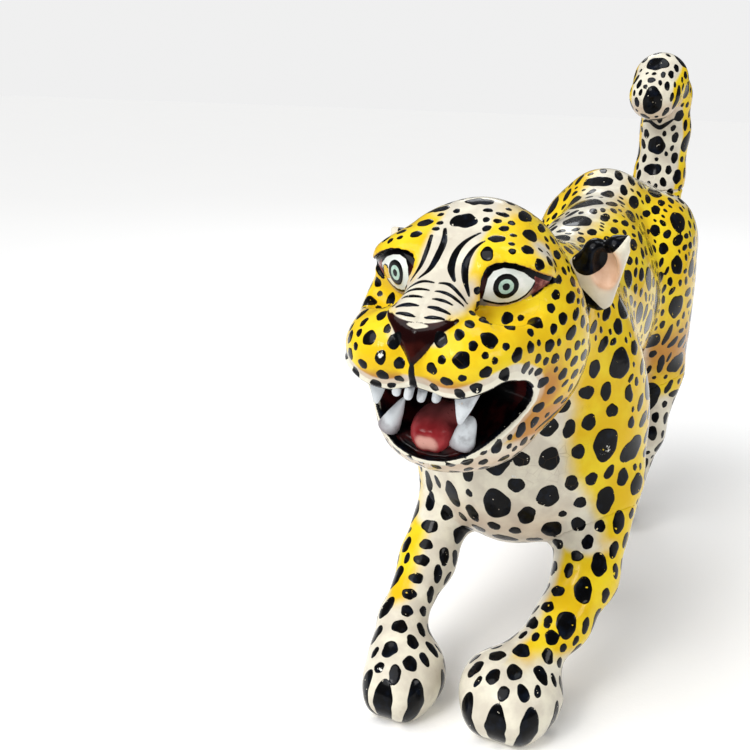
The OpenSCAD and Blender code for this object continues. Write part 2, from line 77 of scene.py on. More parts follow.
def turn(rx=0.0, ry=0.0, rz=0.0):
    """Rotation matrix from degrees, about X, then Y, then Z."""
    cx, cy, cz = (math.cos(math.radians(v)) for v in (rx, ry, rz))
    sx, sy, sz = (math.sin(math.radians(v)) for v in (rx, ry, rz))
    about_x = np.array([[1, 0, 0], [0, cx, -sx], [0, sx, cx]])
    about_y = np.array([[cy, 0, sy], [0, 1, 0], [-sy, 0, cy]])
    about_z = np.array([[cz, -sz, 0], [sz, cz, 0], [0, 0, 1]])
    return (about_z @ about_y @ about_x).astype(np.float32)


def ellipsoid(p, centre, radii, rot=None):
    """Near-exact distance to an ellipsoid."""
    q = p - np.array(centre, np.float32)
    if rot is not None:
        q = q @ turn(*rot)
    r = np.array(radii, np.float32)
    k0 = np.sqrt((q / r * q / r).sum(-1))
    k1 = np.sqrt((q / (r * r) * q / (r * r)).sum(-1))
    return np.where(k1 > 1e-9, k0 * (k0 - 1.0) / np.maximum(k1, 1e-9), -min(radii))


def bone(p, a, b, ra, rb):
    """Tapered rod with round ends."""
    a, b = np.array(a, np.float32), np.array(b, np.float32)
    ab = b - a
    t = np.clip(((p - a) @ ab) / (ab @ ab), 0, 1)
    q = p - a - t[..., None] * ab
    return np.sqrt((q * q).sum(-1)) - (ra + (rb - ra) * t)


def limb(p, points, radii, k):
    """Chain of tapered rods."""
    d = bone(p, points[0], points[1], radii[0], radii[1])
    for i in range(1, len(points) - 1):
        d = blend_min(d, bone(p, points[i], points[i + 1], radii[i], radii[i + 1]), k)
    return d


def mirrored(p):
    """The same points folded on to the +X side."""
    q = p.copy()
    q[..., 0] = np.abs(q[..., 0])
    return q


def plane(p, point, normal):
    """Height above a plane."""
    n = np.array(normal, np.float32)
    n = n / np.linalg.norm(n)
    return (p - np.array(point, np.float32)) @ n


def egg(blend, centre, radii, rot=None, paired=False):
    """One egg of a melted form; a paired one stands on both sides."""
    return blend, paired, lambda p: ellipsoid(p, centre, radii, rot)


def rod(blend, a, b, ra, rb, paired=False):
    """One tapered rod of a melted form."""
    return blend, paired, lambda p: bone(p, a, b, ra, rb)


def melted(p, forms, d=None):
    """Forms joined one after the other, each with its own fillet."""
    m = mirrored(p)
    for blend, paired, shape in forms:
        e = shape(m if paired else p)
        d = e if d is None else blend_min(d, e, blend)
    return d


HIP_SIZE, HIP_TURN = (26, 62, 42), (8, 0, 0)
HAUNCH_SIZE, HAUNCH_TURN = (24, 46, 62), (10, 0, 0)
SPINE_FRONT, SPINE_TOP, SPINE_REAR = (-6, 60, 232), (-16, 135, 246), (-6, 215, 236)
TORSO_FORMS = [
    egg(0, (0, -88, 168), (56, 80, 84)),
    egg(22, (40, -98, 146), (31, 46, 64), paired=True),
    egg(22, (0, -118, 120), (42, 42, 42)),
    egg(34, (-3, 35, 190), (48, 120, 66)),
    egg(26, (-8, 165, 198), (50, 84, 58)),
    rod(26, SPINE_FRONT, SPINE_TOP, 20, 26),
    rod(20, SPINE_TOP, SPINE_REAR, 26, 24),
    egg(16, (-42, 150, 215), HIP_SIZE, HIP_TURN),
    egg(16, (26, 165, 212), HIP_SIZE, HIP_TURN),
    egg(20, (32, 142, 158), HAUNCH_SIZE, HAUNCH_TURN),
    egg(20, (-40, 138, 158), HAUNCH_SIZE, HAUNCH_TURN),
    rod(28, (0, -110, 205), (0, -178, 232), 48, 44),
]


def torso(p):
    return melted(p, TORSO_FORMS)


PAW_LEFT, PAW_RIGHT = (27, -197, 19), (-35, -203, 17)
# Each foreleg's line and radii, its paw's middle, size and turn, and the half width of the toes.
FORELEGS = [
    ([(47, -108, 118), (51, -136, 70), (45, -160, 50), (36, -178, 38)], [27, 18, 15, 14],
     PAW_LEFT, (29.5, 32, 24), (6, 0, 10), 29),
    ([(-38, -110, 115), (-44, -148, 64), (-46, -182, 40), (-43, -194, 32)], [20, 16, 12.5, 13],
     PAW_RIGHT, (23.5, 31, 22), (6, 0, 4), 23),
]
HIND_RADII = [24, 15, 12.5]
FOOT_AT, FOOT_SIZE, FOOT_FILLET = (20, 108, 16), (15.5, 28, 20), 12
TAIL_CURVE = [(1, 245, 225), (2, 262, 262), (4, 262, 300), (3, 254, 330), (1, 238, 343), (0, 223, 331)]
TAIL_RADII = [23, 21, 20, 20.5, 20.5, 20.5]
TOE_DEPTH = 1.1


def toes(p, centre, half_width):
    """Shallow lobes across the front of a paw."""
    across = (p[..., 0] - centre[0]) / half_width
    front = np.clip((centre[1] + 6 - p[..., 1]) / 14, 0, 1)
    low = np.clip((centre[2] + 12 - p[..., 2]) / 16, 0, 1)
    return TOE_DEPTH * front * low * (np.cos(across * 2 * math.pi) + 0.2)


def foreleg(p, line, radii, paw, size, turned, toe_width):
    foot = ellipsoid(p, paw, size, turned) + toes(p, paw, toe_width)
    return blend_min(limb(p, line, radii, 8), foot, FOOT_FILLET)


def hindleg(p, side):
    line = [(side * 36 - 4, 140, 120), (side * 33 - 1, 122, 74), (side * 25, 126, 36)]
    foot = ellipsoid(p, (side * FOOT_AT[0], *FOOT_AT[1:]), FOOT_SIZE)
    return blend_min(limb(p, line, HIND_RADII, 10), foot, FOOT_FILLET)


def tail(p):
    return limb(p, TAIL_CURVE, TAIL_RADII, 6)


NOSE_TOP, NOSE_DIP, NOSE_HALF_WIDTH = 247.9, 1.3, 17.0
NOSE_FRONT, NOSE_BACK = -289.0, -266
# How much the nose's front leans back with height and to the sides, and the slope's length.
NOSE_LEAN, NOSE_SWEEP, NOSE_LENGTH = 0.26, 0.33, 1.09
# The nose's slanting side: a point on it, as across and up, and its slope with its length.
NOSE_SIDE_AT, NOSE_SIDE_SLOPE, NOSE_SIDE_LENGTH = (17.0, 249.6), (20.2, 17.0), 26.4


def nose(p):
    """Wedge with a dipped top edge and a flat front."""
    x, y, z = np.abs(p[..., 0]), p[..., 1], p[..., 2]
    dip = NOSE_DIP * np.cos(np.clip(x, 0, NOSE_HALF_WIDTH) / NOSE_HALF_WIDTH * math.pi)
    top = z - NOSE_TOP - 0.12 * (y + 282) + dip
    side = (x - NOSE_SIDE_AT[0]) * NOSE_SIDE_SLOPE[0] - (z - NOSE_SIDE_AT[1]) * NOSE_SIDE_SLOPE[1]
    front = -(y - NOSE_FRONT - NOSE_LEAN * (z - 229.4) - NOSE_SWEEP * x) / NOSE_LENGTH
    d = blend_max(blend_max(top, side / NOSE_SIDE_LENGTH, 1.5), front, 3)
    return blend_max(d, y - NOSE_BACK, 2)


# The mouth's outline, as degrees round the muzzle from its middle and heights.
MOUTH_MIDDLE = (0, -215)
MOUTH_TOP = [(0, 218), (4, 215.2), (10, 213.6), (18, 214.3), (26, 218), (33, 222), (40, 224), (46, 223),
             (51, 220), (55, 216), (57.5, 211)]
MOUTH_LOW = [(0, 177.5), (10, 178.2), (21, 181.2), (30, 186), (38, 191), (45, 195), (51, 198.5),
             (55.5, 202.5), (57.5, 206.5)]
MM_PER_DEGREE = 0.87


def height_of(outline, x, **ends):
    """Height at x of an outline given as points."""
    return np.interp(x, *np.transpose(outline), **ends)


def lips(p):
    """The mouth's hollow: negative inside."""
    near = (p[..., 1] < -205) & (np.abs(p[..., 2] - 200) < 42)
    hollow = np.full(p.shape[:-1], 30.0, np.float32)
    x, y, z = np.abs(p[near][:, 0]), p[near][:, 1], p[near][:, 2]
    angle = np.degrees(np.arctan2(x, MOUTH_MIDDLE[1] - y))
    chain = np.array(MOUTH_TOP + MOUTH_LOW[::-1], np.float32)
    gap = np.full(len(x), 60.0, np.float32)
    for (a0, z0), (a1, z1) in zip(chain, chain[1:]):
        run, rise = (a1 - a0) * MM_PER_DEGREE, z1 - z0
        s, h = (angle - a0) * MM_PER_DEGREE, z - z0
        t = np.clip((s * run + h * rise) / (run * run + rise * rise), 0, 1)
        gap = np.minimum(gap, np.hypot(s - t * run, h - t * rise))
    inside = (angle < MOUTH_TOP[-1][0]) & (z < height_of(MOUTH_TOP, angle))
    inside &= z > height_of(MOUTH_LOW, angle)
    q = np.stack([x, np.maximum(y, -246), z], -1)
    throat = ellipsoid(q, (0, -246, 203), (45, 28, 42))
    hollow[near] = blend_max(np.where(inside, -gap, gap), throat, 3)
    return hollow


GUM_LINE = [(0, -254.5, 180), (14, -252, 181), (25, -245, 184.5), (34, -236, 191)]
GUM_RADII = [5.5, 5.5, 5, 4.5]


def gums(m):
    """The ridge that the lower teeth stand on."""
    return limb(m, GUM_LINE, GUM_RADII, 3)


# The eye, and its outlines in the eye's own plane: millimetres outward and up from its middle.
EYE_AT, EYE_SIZE, EYE_TURN = (26, -237, 261), (23, 7, 14), (12, -16, 34)
LID_TOP = [(-17, -4), (-15.4, 2.5), (-12.7, 7.7), (-9.2, 11.4), (-5, 13), (-0.5, 12.6), (3.8, 11), (8.8, 7.6),
           (13.8, 2.9), (19.5, -2.3), (25, -8)]
LID_LOW = [(-17, -5.5), (-13, -7.6), (-8, -9.2), (0, -10.2), (6.2, -9.3), (10.3, -8.0), (15, -6.6),
           (19.5, -6.6), (25, -8.4)]
WHITE_TOP = [(-14, -2), (-11.7, 3), (-9.6, 7), (-6.3, 9.4), (-1.5, 9.6), (2.8, 7.9), (7.1, 4.9), (11.8, -0.8)]
WHITE_LOW = [(-14, -2.2), (-10.7, -4.4), (-7.2, -6.4), (-2.6, -7.8), (2.2, -7.8), (6.3, -6.4), (9.3, -4.0),
             (11.8, -1)]
IRIS_AT = (-2.4, 1.1)
EYE_SHIFT_RIGHT = (-1.5, 2)
SOCKET_AT, SOCKET_SIZE = (-4, -14, -8), (20, 9, 8)


def eye_local(p):
    """Outward, out of the face and up in the eye's plane; the right eye is higher and nearer the nose."""
    q = (mirrored(p) - np.array(EYE_AT, np.float32)) @ turn(*EYE_TURN)
    right = p[..., 0] < 0
    return (q[..., 0] - np.where(right, EYE_SHIFT_RIGHT[0], 0), -q[..., 1],
            q[..., 2] - np.where(right, EYE_SHIFT_RIGHT[1], 0))


def between(u, v, low, top):
    """About the distance inside a region between two outlines, negative outside."""
    above = v - height_of(low, u, left=99, right=99)
    below = height_of(top, u, left=-99, right=-99) - v
    return 0.8 * np.minimum(above, below)


def lids(u, v):
    """About the distance inside the opening between the lids, negative on them."""
    return between(u, v, LID_LOW, LID_TOP)


def eye_hole(p):
    """The opening between the lids: negative inside, down to just under the eye's surface."""
    u, out, v = eye_local(p)
    room = np.maximum(-lids(u, v), u - 21.5)
    return np.maximum(np.maximum(room, -2 - out), -(eyeball(mirrored(p)) + 0.4))


def eyeball(m):
    return ellipsoid(m, EYE_AT, EYE_SIZE, EYE_TURN)


def eye_lens(p):
    """The eyeball's part that fills the opening between the lids."""
    u, out, v = eye_local(p)
    rim = -lids(u, v) - 0.6
    return np.maximum(np.maximum(eyeball(mirrored(p)), np.maximum(rim, u - 22)), -3 - out)


SKULL_AT, SKULL_SIZE = (0, -204, 248), (46, 54, 46)
FOREHEAD = ((0, -222, 286.5), (0, -0.547, 0.837))
SKULL_FORMS = [
    egg(20, (35, -206, 222), (22.5, 40, 34), paired=True),
    egg(10, (32, -236, 232), (15, 34, 17), paired=True),
    egg(11, (27, -232, 269), (18, 14, 9), (0, 12, 28), paired=True),
    rod(8, (5, -236, 261), (6, -270, 246.5), 11, 10, paired=True),
    egg(8, (17.5, -262, 230), (23, 26, 19), paired=True),
    egg(4, (0, -264, 227), (11, 23, 12)),
    egg(8, (0, -233, 183), (31, 30, 17)),
    egg(14, (0, -222, 192), (42, 40, 27)),
]


def skull(p):
    """Head without mouth, eyes or nose: flat forehead, cheeks, brows, bridge, muzzle, chin and jaw."""
    d = blend_max(ellipsoid(p, SKULL_AT, SKULL_SIZE), plane(p, *FOREHEAD), 7)
    d = melted(p, SKULL_FORMS, d)
    socket = np.array(EYE_AT) + turn(*EYE_TURN) @ np.array(SOCKET_AT)
    return blend_max(d, -ellipsoid(mirrored(p), socket, SOCKET_SIZE, EYE_TURN), 3)


def head(p):
    m = mirrored(p)
    d = skull(p)
    hollow = lips(p)
    rim = blend_max(np.abs(hollow - 0.5) - 2.6, np.abs(d) - 1.4, 1.5)
    gum = blend_max(gums(m), d + 4, 2)
    d = blend_min(blend_max(blend_min(d, rim, 1.5), -hollow, 1.2), gum, 2)
    d = blend_max(d, -eye_hole(p), 0.8)
    return blend_min(d, nose(p), 1.5)


# The ears' seat and peg axis on the left side, and the height of the tail's seat.
EAR_SEAT, EAR_AXIS, TAIL_SEAT = (35.3, -160, 246.9), (0.848048, 0, 0.529919), 252
# The ear's lobes: both ends across and up, radius at each, and fillet to the lobes before.
EAR_Y, EAR_SQUASH = -161, 0.85
EAR_LOBES = [((60, 267), (56.5, 240), 6.5, 3.2, 0), ((49, 265.5), (53, 238), 6.5, 3.6, 3.5),
             ((60, 270), (64.5, 273), 4.5, 1.8, 3)]
EAR_ROOT, EAR_ROOT_SIZE = (45, -159, 250), (12, 9, 15)
EAR_CUP, EAR_CUP_SIZE, EAR_CUP_TURN = (56, -169, 258), (6.5, 8.5, 11), (0, -14, 0)


def ear_solid(m):
    """Two-lobed leaf on a short root, before it is hollowed."""
    q = m * np.array((1, EAR_SQUASH, 1), np.float32)
    y = EAR_Y * EAR_SQUASH
    d = None
    for (x0, z0), (x1, z1), r0, r1, k in EAR_LOBES:
        lobe = bone(q, (x0, y, z0), (x1, y, z1), r0, r1)
        d = lobe if d is None else blend_min(d, lobe, k)
    return blend_min(d, ellipsoid(m, EAR_ROOT, EAR_ROOT_SIZE), 5)


def ear(m):
    d = ear_solid(m)
    d = blend_max(d, -ellipsoid(m, EAR_CUP, EAR_CUP_SIZE, EAR_CUP_TURN), 1.5)
    return blend_max(d, -plane(m, EAR_SEAT, EAR_AXIS), 0.3)


UNEVENNESS = 0.45


def uneven(p):
    """Slow unevenness left by the knife."""
    x, y, z = p[..., 0], p[..., 1], p[..., 2]
    d = np.sin(x / 9.0 + np.sin(y / 17.0)) * np.sin(y / 11.0 + 1.3) * np.sin(z / 10.0 + 0.7)
    return UNEVENNESS * d


LEG_FILLET, TAIL_FILLET, HEAD_FILLET = 12, 6, 3


def body(p):
    """Everything but head, tail and ears, in one blend."""
    d = torso(p)
    for leg in [*(foreleg(p, *shape) for shape in FORELEGS), hindleg(p, 1), hindleg(p, -1)]:
        d = blend_min(d, leg, LEG_FILLET)
    return d


def figure(p):
    """Body and head as one blended, uneven surface standing on z = 0."""
    d = blend_min(blend_min(body(p), tail(p), TAIL_FILLET), head(p), HEAD_FILLET)
    return np.maximum(d + uneven(p), -p[..., 2])


TONGUE_AT, TONGUE_SIZE = (-1.5, -243, 187.5), (13.5, 23, 12.5)
TONGUE_TIP = ((-1.5, -263, 185), (0, -0.9, -0.44))
GROOVE_DEPTH, GROOVE_WIDTH = 0.9, 2.5


def tongue(p):
    d = ellipsoid(p, TONGUE_AT, TONGUE_SIZE)
    groove = GROOVE_DEPTH * np.exp(-(((p[..., 0] - TONGUE_AT[0]) / GROOVE_WIDTH) ** 2))
    return blend_max(d + groove, plane(p, *TONGUE_TIP), 1.5)


def figure_with_parts(p):
    """The figure with its eyes, ears and tongue, which strokes are moved on to."""
    m = mirrored(p)
    d = np.minimum(figure(p), eye_lens(p))
    return np.minimum(np.minimum(d, ear(m)), tongue(p))


# Joint planes: a point and the direction out of the torso.
NECK = ((0, -154, 222.6), (0, -0.85985, 0.51054))
FORE_LEFT = ((48, -122, 96), (0.55, -0.30, -0.78))
FORE_RIGHT = ((-42, -122, 94), (-0.55, -0.30, -0.78))
HIND_LEFT = ((32, 136, 108), (0.50, -0.10, -0.86))
HIND_RIGHT = ((-38, 136, 108), (-0.50, -0.10, -0.86))
# The room cleared above the tail's seat, and the play round each ear's root.
TAIL_CLEAR_AT, TAIL_CLEAR_R, EAR_ROOM = (2, 258), 26, 0.5


def part_of(shape, cut, sunk=0.35, overlap=3.0):
    """The part of a shape below a cut, with a slightly sunk tenon past it: the joint is a hairline."""
    return np.minimum(np.maximum(shape, cut), np.maximum(shape + sunk, cut - overlap))


def legs_cut(p):
    """Positive past any of the four leg joints."""
    fore = p[..., 1] < 0
    left = p[..., 0] > 0
    f = np.where(left, plane(p, *FORE_LEFT), plane(p, *FORE_RIGHT))
    h = np.where(left, plane(p, *HIND_LEFT), plane(p, *HIND_RIGHT))
    return np.where(fore, f, h)


def torso_block(p):
    d = blend_min(body(p), blend_min(tail(p), torso(p), TAIL_FILLET), 3)
    d = blend_min(d, head(p), HEAD_FILLET) + uneven(p)
    d = part_of(d, legs_cut(p))
    d = part_of(d, plane(p, *NECK))
    across = np.hypot(p[..., 0] - TAIL_CLEAR_AT[0], p[..., 1] - TAIL_CLEAR_AT[1]) - TAIL_CLEAR_R
    return blend_max(d, -np.maximum(across, TAIL_SEAT - p[..., 2]), 0.5)


def head_block(p):
    d = figure(p)
    m = mirrored(p)
    recess = np.maximum(ear_solid(m) - EAR_ROOM, -plane(m, EAR_SEAT, EAR_AXIS))
    d = blend_max(d, -recess, 0.5)
    return np.maximum(d, -plane(p, *NECK))


def leg_block(joint, side, fore):
    """Field of one leg, past its joint."""

    def field(p):
        d = np.maximum(figure(p), -plane(p, *joint))
        d = np.maximum(d, -p[..., 0] * side)
        return np.maximum(d, p[..., 1] if fore else -p[..., 1])

    return field


def tail_block(p):
    return np.maximum(tail(p) + uneven(p), TAIL_SEAT - p[..., 2])


RIGHT_EAR_DROP, RIGHT_EAR_SCALE = 0.26, 0.85


def right_ear(p):
    """The right ear is carved a little lower than the left one."""
    q = p * np.array((-1, 1, 1), np.float32)
    above = q[..., 2] - EAR_SEAT[2]
    q[..., 2] += RIGHT_EAR_DROP * np.maximum(above, 0)
    return ear(q) * RIGHT_EAR_SCALE


COARSER = 1.0


def surface(field, low, high, step):
    """Vertices in millimetres and faces of a field's surface between two corners."""
    axes = [np.arange(a, b + step, step, dtype=np.float32) for a, b in zip(low, high)]
    volume = np.empty([len(a) for a in axes], np.float32)
    ys, zs = np.meshgrid(axes[1], axes[2], indexing="ij")
    for i, x in enumerate(axes[0]):
        volume[i] = field(np.stack([np.full_like(ys, x), ys, zs], -1))
    grid = openvdb.FloatGrid(float(step) * 3)
    grid.copyFromArray(volume, tolerance=0)
    points, quads = grid.convertToQuads(isovalue=0.0)
    return points * step + np.array(low, np.float32), quads


def added(name, data):
    """A new object in the scene."""
    made = bpy.data.objects.new(name, data)
    bpy.context.scene.collection.objects.link(made)
    return made


def mesh_piece(name, points, faces):
    """A smooth mesh object from millimetre points."""
    mesh = bpy.data.meshes.new(name)
    mesh.from_pydata((points * MM).tolist(), [], faces.tolist())
    mesh.validate()
    mesh.shade_smooth()
    return added(name, mesh)


def node_grid(nodes, margin=7.0):
    """Corners in millimetres of the box that holds these CAD nodes, grown a little."""
    lows, highs = zip(*(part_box(n) for n in nodes))
    low = np.min([np.array(v) for v in lows], 0) / MM - margin
    high = np.max([np.array(v) for v in highs], 0) / MM + margin
    return low, high


def largest(points, faces):
    """Drops specks: keeps the biggest connected shell."""
    label = np.arange(len(points))
    while True:
        lowest = label[faces].min(1)
        new = label.copy()
        for k in range(faces.shape[1]):
            np.minimum.at(new, faces[:, k], lowest)
        new = new[new]
        if (new == label).all():
            break
        label = new
    names, counts = np.unique(label, return_counts=True)
    keep = label == names[counts.argmax()]
    index = np.cumsum(keep) - 1
    return points[keep], index[faces[keep[faces].all(1)]]


def sculpt(name, field, nodes, step, body_name):
    """Meshes a field round its CAD nodes, which it replaces, and rides it on their body."""
    low, high = node_grid(nodes)
    points, faces = largest(*surface(field, low, high, step * COARSER))
    piece = mesh_piece(name, points, faces)
    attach(piece, body_name)
    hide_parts(*nodes)
    return piece


# Paint. Marks are laid on the surface in millimetres. An oval is the x, y and z of its middle, half
# its width and half its length; a stroke is its points and its half width at each.

FACE_OVALS = [
    (1, -208, 293, 7.8, 3.8), (-1, -224, 286, 6.9, 5.4), (-18, -213, 288, 6.5, 3.4),
    (-20, -226, 283, 4.2, 4.2), (24, -206, 287, 3.6, 8), (31, -220, 280, 3.9, 6.5),
    (20, -236, 280, 4.2, 3.8), (31, -202, 281, 2.3, 6.5), (8, -215, 290, 2.6, 1.8),
    (16, -216, 289, 3.6, 1.8), (15, -221, 286, 2.2, 1.8), (-30, -216, 281, 3.2, 5),
    (23, -286, 235, 3.9, 4), (31, -274, 242, 4.2, 4.4), (42, -243, 245, 3.6, 4.2),
    (53, -222, 236, 2.9, 6), (-22, -284, 239, 3.6, 3.8), (-36, -263, 244, 3.6, 4.6),
    (-44, -243, 247, 4, 4.8), (35, -258, 243, 2.6, 3.4), (-53, -220, 232, 3, 6),
    (46, -176, 262, 4.2, 7), (-46, -176, 262, 4.2, 7), (18, -182, 290, 5, 8), (-18, -180, 290, 5, 8),
]
CHEST_OVALS = [
    (2, -166, 144, 8.5, 9), (16, -163, 146, 5, 4.5), (30, -156, 146, 6, 7), (14, -165, 158, 5, 4.2),
    (29, -159, 166, 5.5, 6.2), (39, -152, 164, 3.6, 6), (44, -148, 150, 4, 4.5), (57, -138, 153, 8, 10),
    (-15, -162, 132, 4.2, 6), (-47, -141, 113, 4, 7), (-27, -154, 113, 6, 9), (14, -163, 130, 5, 4.6),
    (3, -162, 116, 8.2, 10.5), (30, -154, 123, 6.6, 7.2), (19, -156, 110, 5, 7),
    (-13, -157, 105, 4.4, 7), (-33, -147, 97, 4, 5), (-45, -144, 101, 3.6, 6), (-42, -151, 88, 5.5, 4),
    (-12, -150, 91, 5, 4), (4, -147, 88, 8, 4.6), (21, -143, 86, 5.4, 3.4), (31, -145, 99, 6, 7),
    (46, -143, 104, 4.3, 4.3), (46, -143, 118, 3.8, 3.8), (51, -142, 133, 3.8, 4.3),
    (59, -136, 119, 5.5, 8.5), (67, -132, 105, 4.4, 7), (58, -140, 104, 3.3, 3.6),
    (35, -142, 89, 4.5, 3), (68, -119, 146, 6.5, 12),
]
LEG_OVALS = [
    (61, -148, 84, 4.8, 7), (55, -158, 71, 5.2, 7.8), (51, -175, 57, 5.8, 7.8), (45, -182, 51, 4, 4.3),
    (31, -193, 45, 5, 4.4), (45, -189, 43, 3.6, 4.6), (44, -200, 36, 4, 6), (32, -208, 40, 4.4, 5.6),
    (22, -214, 38, 3.8, 5.2), (19, -199, 42, 4.8, 5), (10, -208, 36, 4.2, 6), (31, -176, 54, 5.4, 3.7),
    (38, -169, 62, 4.6, 3.5), (41, -161, 69, 4.6, 3.5), (48, -149, 87, 3.9, 3.1),
    (-41, -159, 80, 4.2, 3.3), (-41, -165, 72, 5.1, 3.4), (-30, -156, 73, 3.6, 5.7),
    (-31, -163, 64, 3.1, 5.8), (-55, -171, 60, 5, 8), (-41, -173, 64, 4.5, 3.4),
    (-42, -181, 57, 4.5, 3.6), (-53, -190, 50, 4.4, 7.6), (-40, -199, 45, 4.8, 4.4),
    (-53, -202, 38, 4, 6.5), (-40, -213, 38, 4.6, 5.6), (-30, -203, 40, 3.6, 5),
    (-26, -216, 34, 4.2, 5),
]
BODY_OVALS = [
    (58, -125, 197, 8.4, 10.5), (54, -118, 216, 4.4, 6.3), (62, -106, 202, 4, 6),
    (46, -148, 185, 5.6, 4), (64, -121, 179, 5.2, 4), (58, -134, 172, 4.6, 3.8),
    (48, -145, 167, 4.4, 5), (43, 62, 194, 14, 15), (46, 114, 211, 7, 8), (50, 109, 181, 8.3, 10.5),
    (41, 139, 240, 7.9, 12), (37, 106, 224, 4.2, 6), (29, 110, 236, 4.3, 7), (25, 129, 249, 3.6, 6.5),
    (36, -10, 222, 5.4, 11), (43, -1, 198, 6, 11), (52, -97, 223, 6, 15), (30, 29, 238, 3.6, 9.5),
    (-16, 111, 270, 13, 7), (-12, 59, 260, 12, 14), (-4, 8, 254, 9.5, 14), (-6, -38, 252, 9, 14),
    (-3, -80, 254, 8, 13), (-14, 160, 268, 11, 9), (-8, 205, 258, 9, 8), (-4, 92, 263, 5, 9),
    (12, 107, 256, 4.6, 11), (18, 157, 258, 6, 13), (18, 74, 251, 5, 14), (9, 30, 254, 3.2, 9),
]
STROKES = [
    ([(-12, -237, 279), (-11, -245, 273), (-11.5, -252, 267), (-14, -257, 261)], [0.8, 1.1, 1.1, 0.6]),
    ([(-8, -230, 282), (-5, -239, 277), (-5, -248, 271), (-6, -254, 266), (-9, -258, 262)],
     [0.8, 1.6, 1.7, 1.3, 0.6]),
    ([(10, -231, 281), (5, -237, 278), (3, -244, 273), (4, -252, 268), (8, -258, 263)],
     [0.8, 1.6, 1.9, 1.9, 0.8]),
    ([(15, -239, 279), (11, -244, 274), (10, -249, 270), (12, -255, 264), (15, -258, 257)],
     [0.8, 1.6, 1.8, 1.6, 0.7]),
    ([(0, -289, 230), (0, -289, 225), (0, -288, 219), (0, -285, 217)], [1.2, 1.6, 2.0, 2.0]),
]
# The tail's front row, and the dark line where the curl meets the shaft.
TAIL_OVALS = [
    (0, 220, 356, 9.3, 7.2), (2, 203, 326, 7.8, 11.6), (1, 242, 289, 7.6, 7.6), (0, 240, 269, 7.8, 5),
    (-1, 207, 343, 3.4, 2.8), (-11, 208, 340, 2.6, 4.2), (12, 208, 339, 2.5, 4), (20, 218, 330, 4, 10),
    (18, 243, 314, 4.6, 5), (-9, 244, 298, 3.2, 4), (16, 244, 296, 3, 4.6), (16, 247, 279, 3.3, 4.8),
    (0, 262, 364, 8, 8),
]
TAIL_LINE = ([(-14, 246, 308), (-7, 241, 309), (-2, 240, 306), (3, 240, 304), (8, 240, 307), (13, 241, 311)],
             [0.9, 1.7, 1.8, 1.9, 1.7, 0.9])
# Given on the left side and repeated on the right.
STROKES_BOTH = [
    ([(1, -260, 262), (7, -261, 262), (12, -262, 258), (16, -261, 254)], [0.5, 1.1, 1.1, 0.5]),
    ([(1, -265, 260), (7, -266, 259), (12, -266, 257), (15, -264, 253)], [0.5, 1.1, 1.1, 0.5]),
    ([(2, -270, 257), (7, -271, 257), (12, -270, 255)], [0.5, 1.2, 0.6]),
    ([(2, -275, 254), (7, -276, 254), (13, -275, 252)], [0.5, 1.3, 0.6]),
    ([(2, -279, 250), (6, -280, 251), (12, -279, 251)], [0.5, 1.0, 0.5]),
    ([(54, -201, 216), (53, -207, 209), (51, -213, 204)], [0.6, 1.7, 0.7]),
    ([(50, -213, 199), (47, -221, 194), (42, -230, 188)], [0.6, 1.5, 0.6]),
    ([(55, -196, 226), (55, -197, 219), (54, -199, 212)], [0.5, 1.4, 0.5]),
]
# Each forepaw's middle, half sizes and directions of its toe marks, in degrees from straight ahead.
# The marks are as wide and long as TOE_FRONT up to TOE_TURN degrees, and as TOE_SIDE past that.
TOE_HEIGHT, TOE_TURN, TOE_FRONT, TOE_SIDE = 15, 60, (5.9, 14.0), (3.6, 10.0)
TOES = [(PAW_LEFT, (29, 31), (-34, 4, 40, 78)), (PAW_RIGHT, (23, 30), (-43, 0, 51, 92))]
# Chipped places and their reach.
CHIPS = [((-15, -288, 232), 7), ((60, -140, 150), 12), ((44, -158, 132), 9), ((64, -160, 272), 6),
         ((-40, -222, 30), 6), ((14, -166, 136), 5)]


def gradient(field, points, step=0.4):
    """Slope of a field at points."""
    g = np.empty_like(points)
    for k in range(3):
        shift = np.zeros(3, np.float32)
        shift[k] = step
        g[:, k] = (field(points + shift) - field(points - shift)) / (2 * step)
    return g


def unit(v):
    return v / np.maximum(np.linalg.norm(v, axis=-1, keepdims=True), 1e-9)


def onto(field, points):
    """Points moved on to a field's surface."""
    p = np.array(points, np.float32)
    for _ in range(4):
        g = gradient(field, p)
        p = p - 0.9 * (field(p) / np.maximum((g * g).sum(-1), 0.2))[:, None] * g
    return p


def drawn(points, widths):
    """A smooth stroke resampled about every millimetre: its points and half widths."""
    pts, wid = np.array(points, float), np.array(widths, float)
    span = np.arange(len(pts))
    count = int(np.linalg.norm(np.diff(pts, axis=0), axis=1).sum()) + 2
    t = np.linspace(0, len(pts) - 1, count)
    i = np.clip(t.astype(int), 0, len(pts) - 2)
    f = (t - i)[:, None]
    before, after = pts[np.maximum(i - 1, 0)], pts[np.minimum(i + 2, len(pts) - 1)]
    a, b = pts[i], pts[i + 1]
    curve = 0.5 * (2 * a + (b - before) * f + (2 * before - 5 * a + 4 * b - after) * f**2
                   + (3 * a - before - 3 * b + after) * f**3)
    return curve.astype(np.float32), np.interp(t, span, wid)


def smooth(low, high, x):
    """0 to 1 as x goes from low to high, which may be the smaller one."""
    t = np.clip((x - low) / (high - low), 0, 1)
    return t * t * (3 - 2 * t)


def on_head(p):
    """0 on the body, 1 on the head."""
    return smooth(-1.5, 1.5, body(p) - head(p))


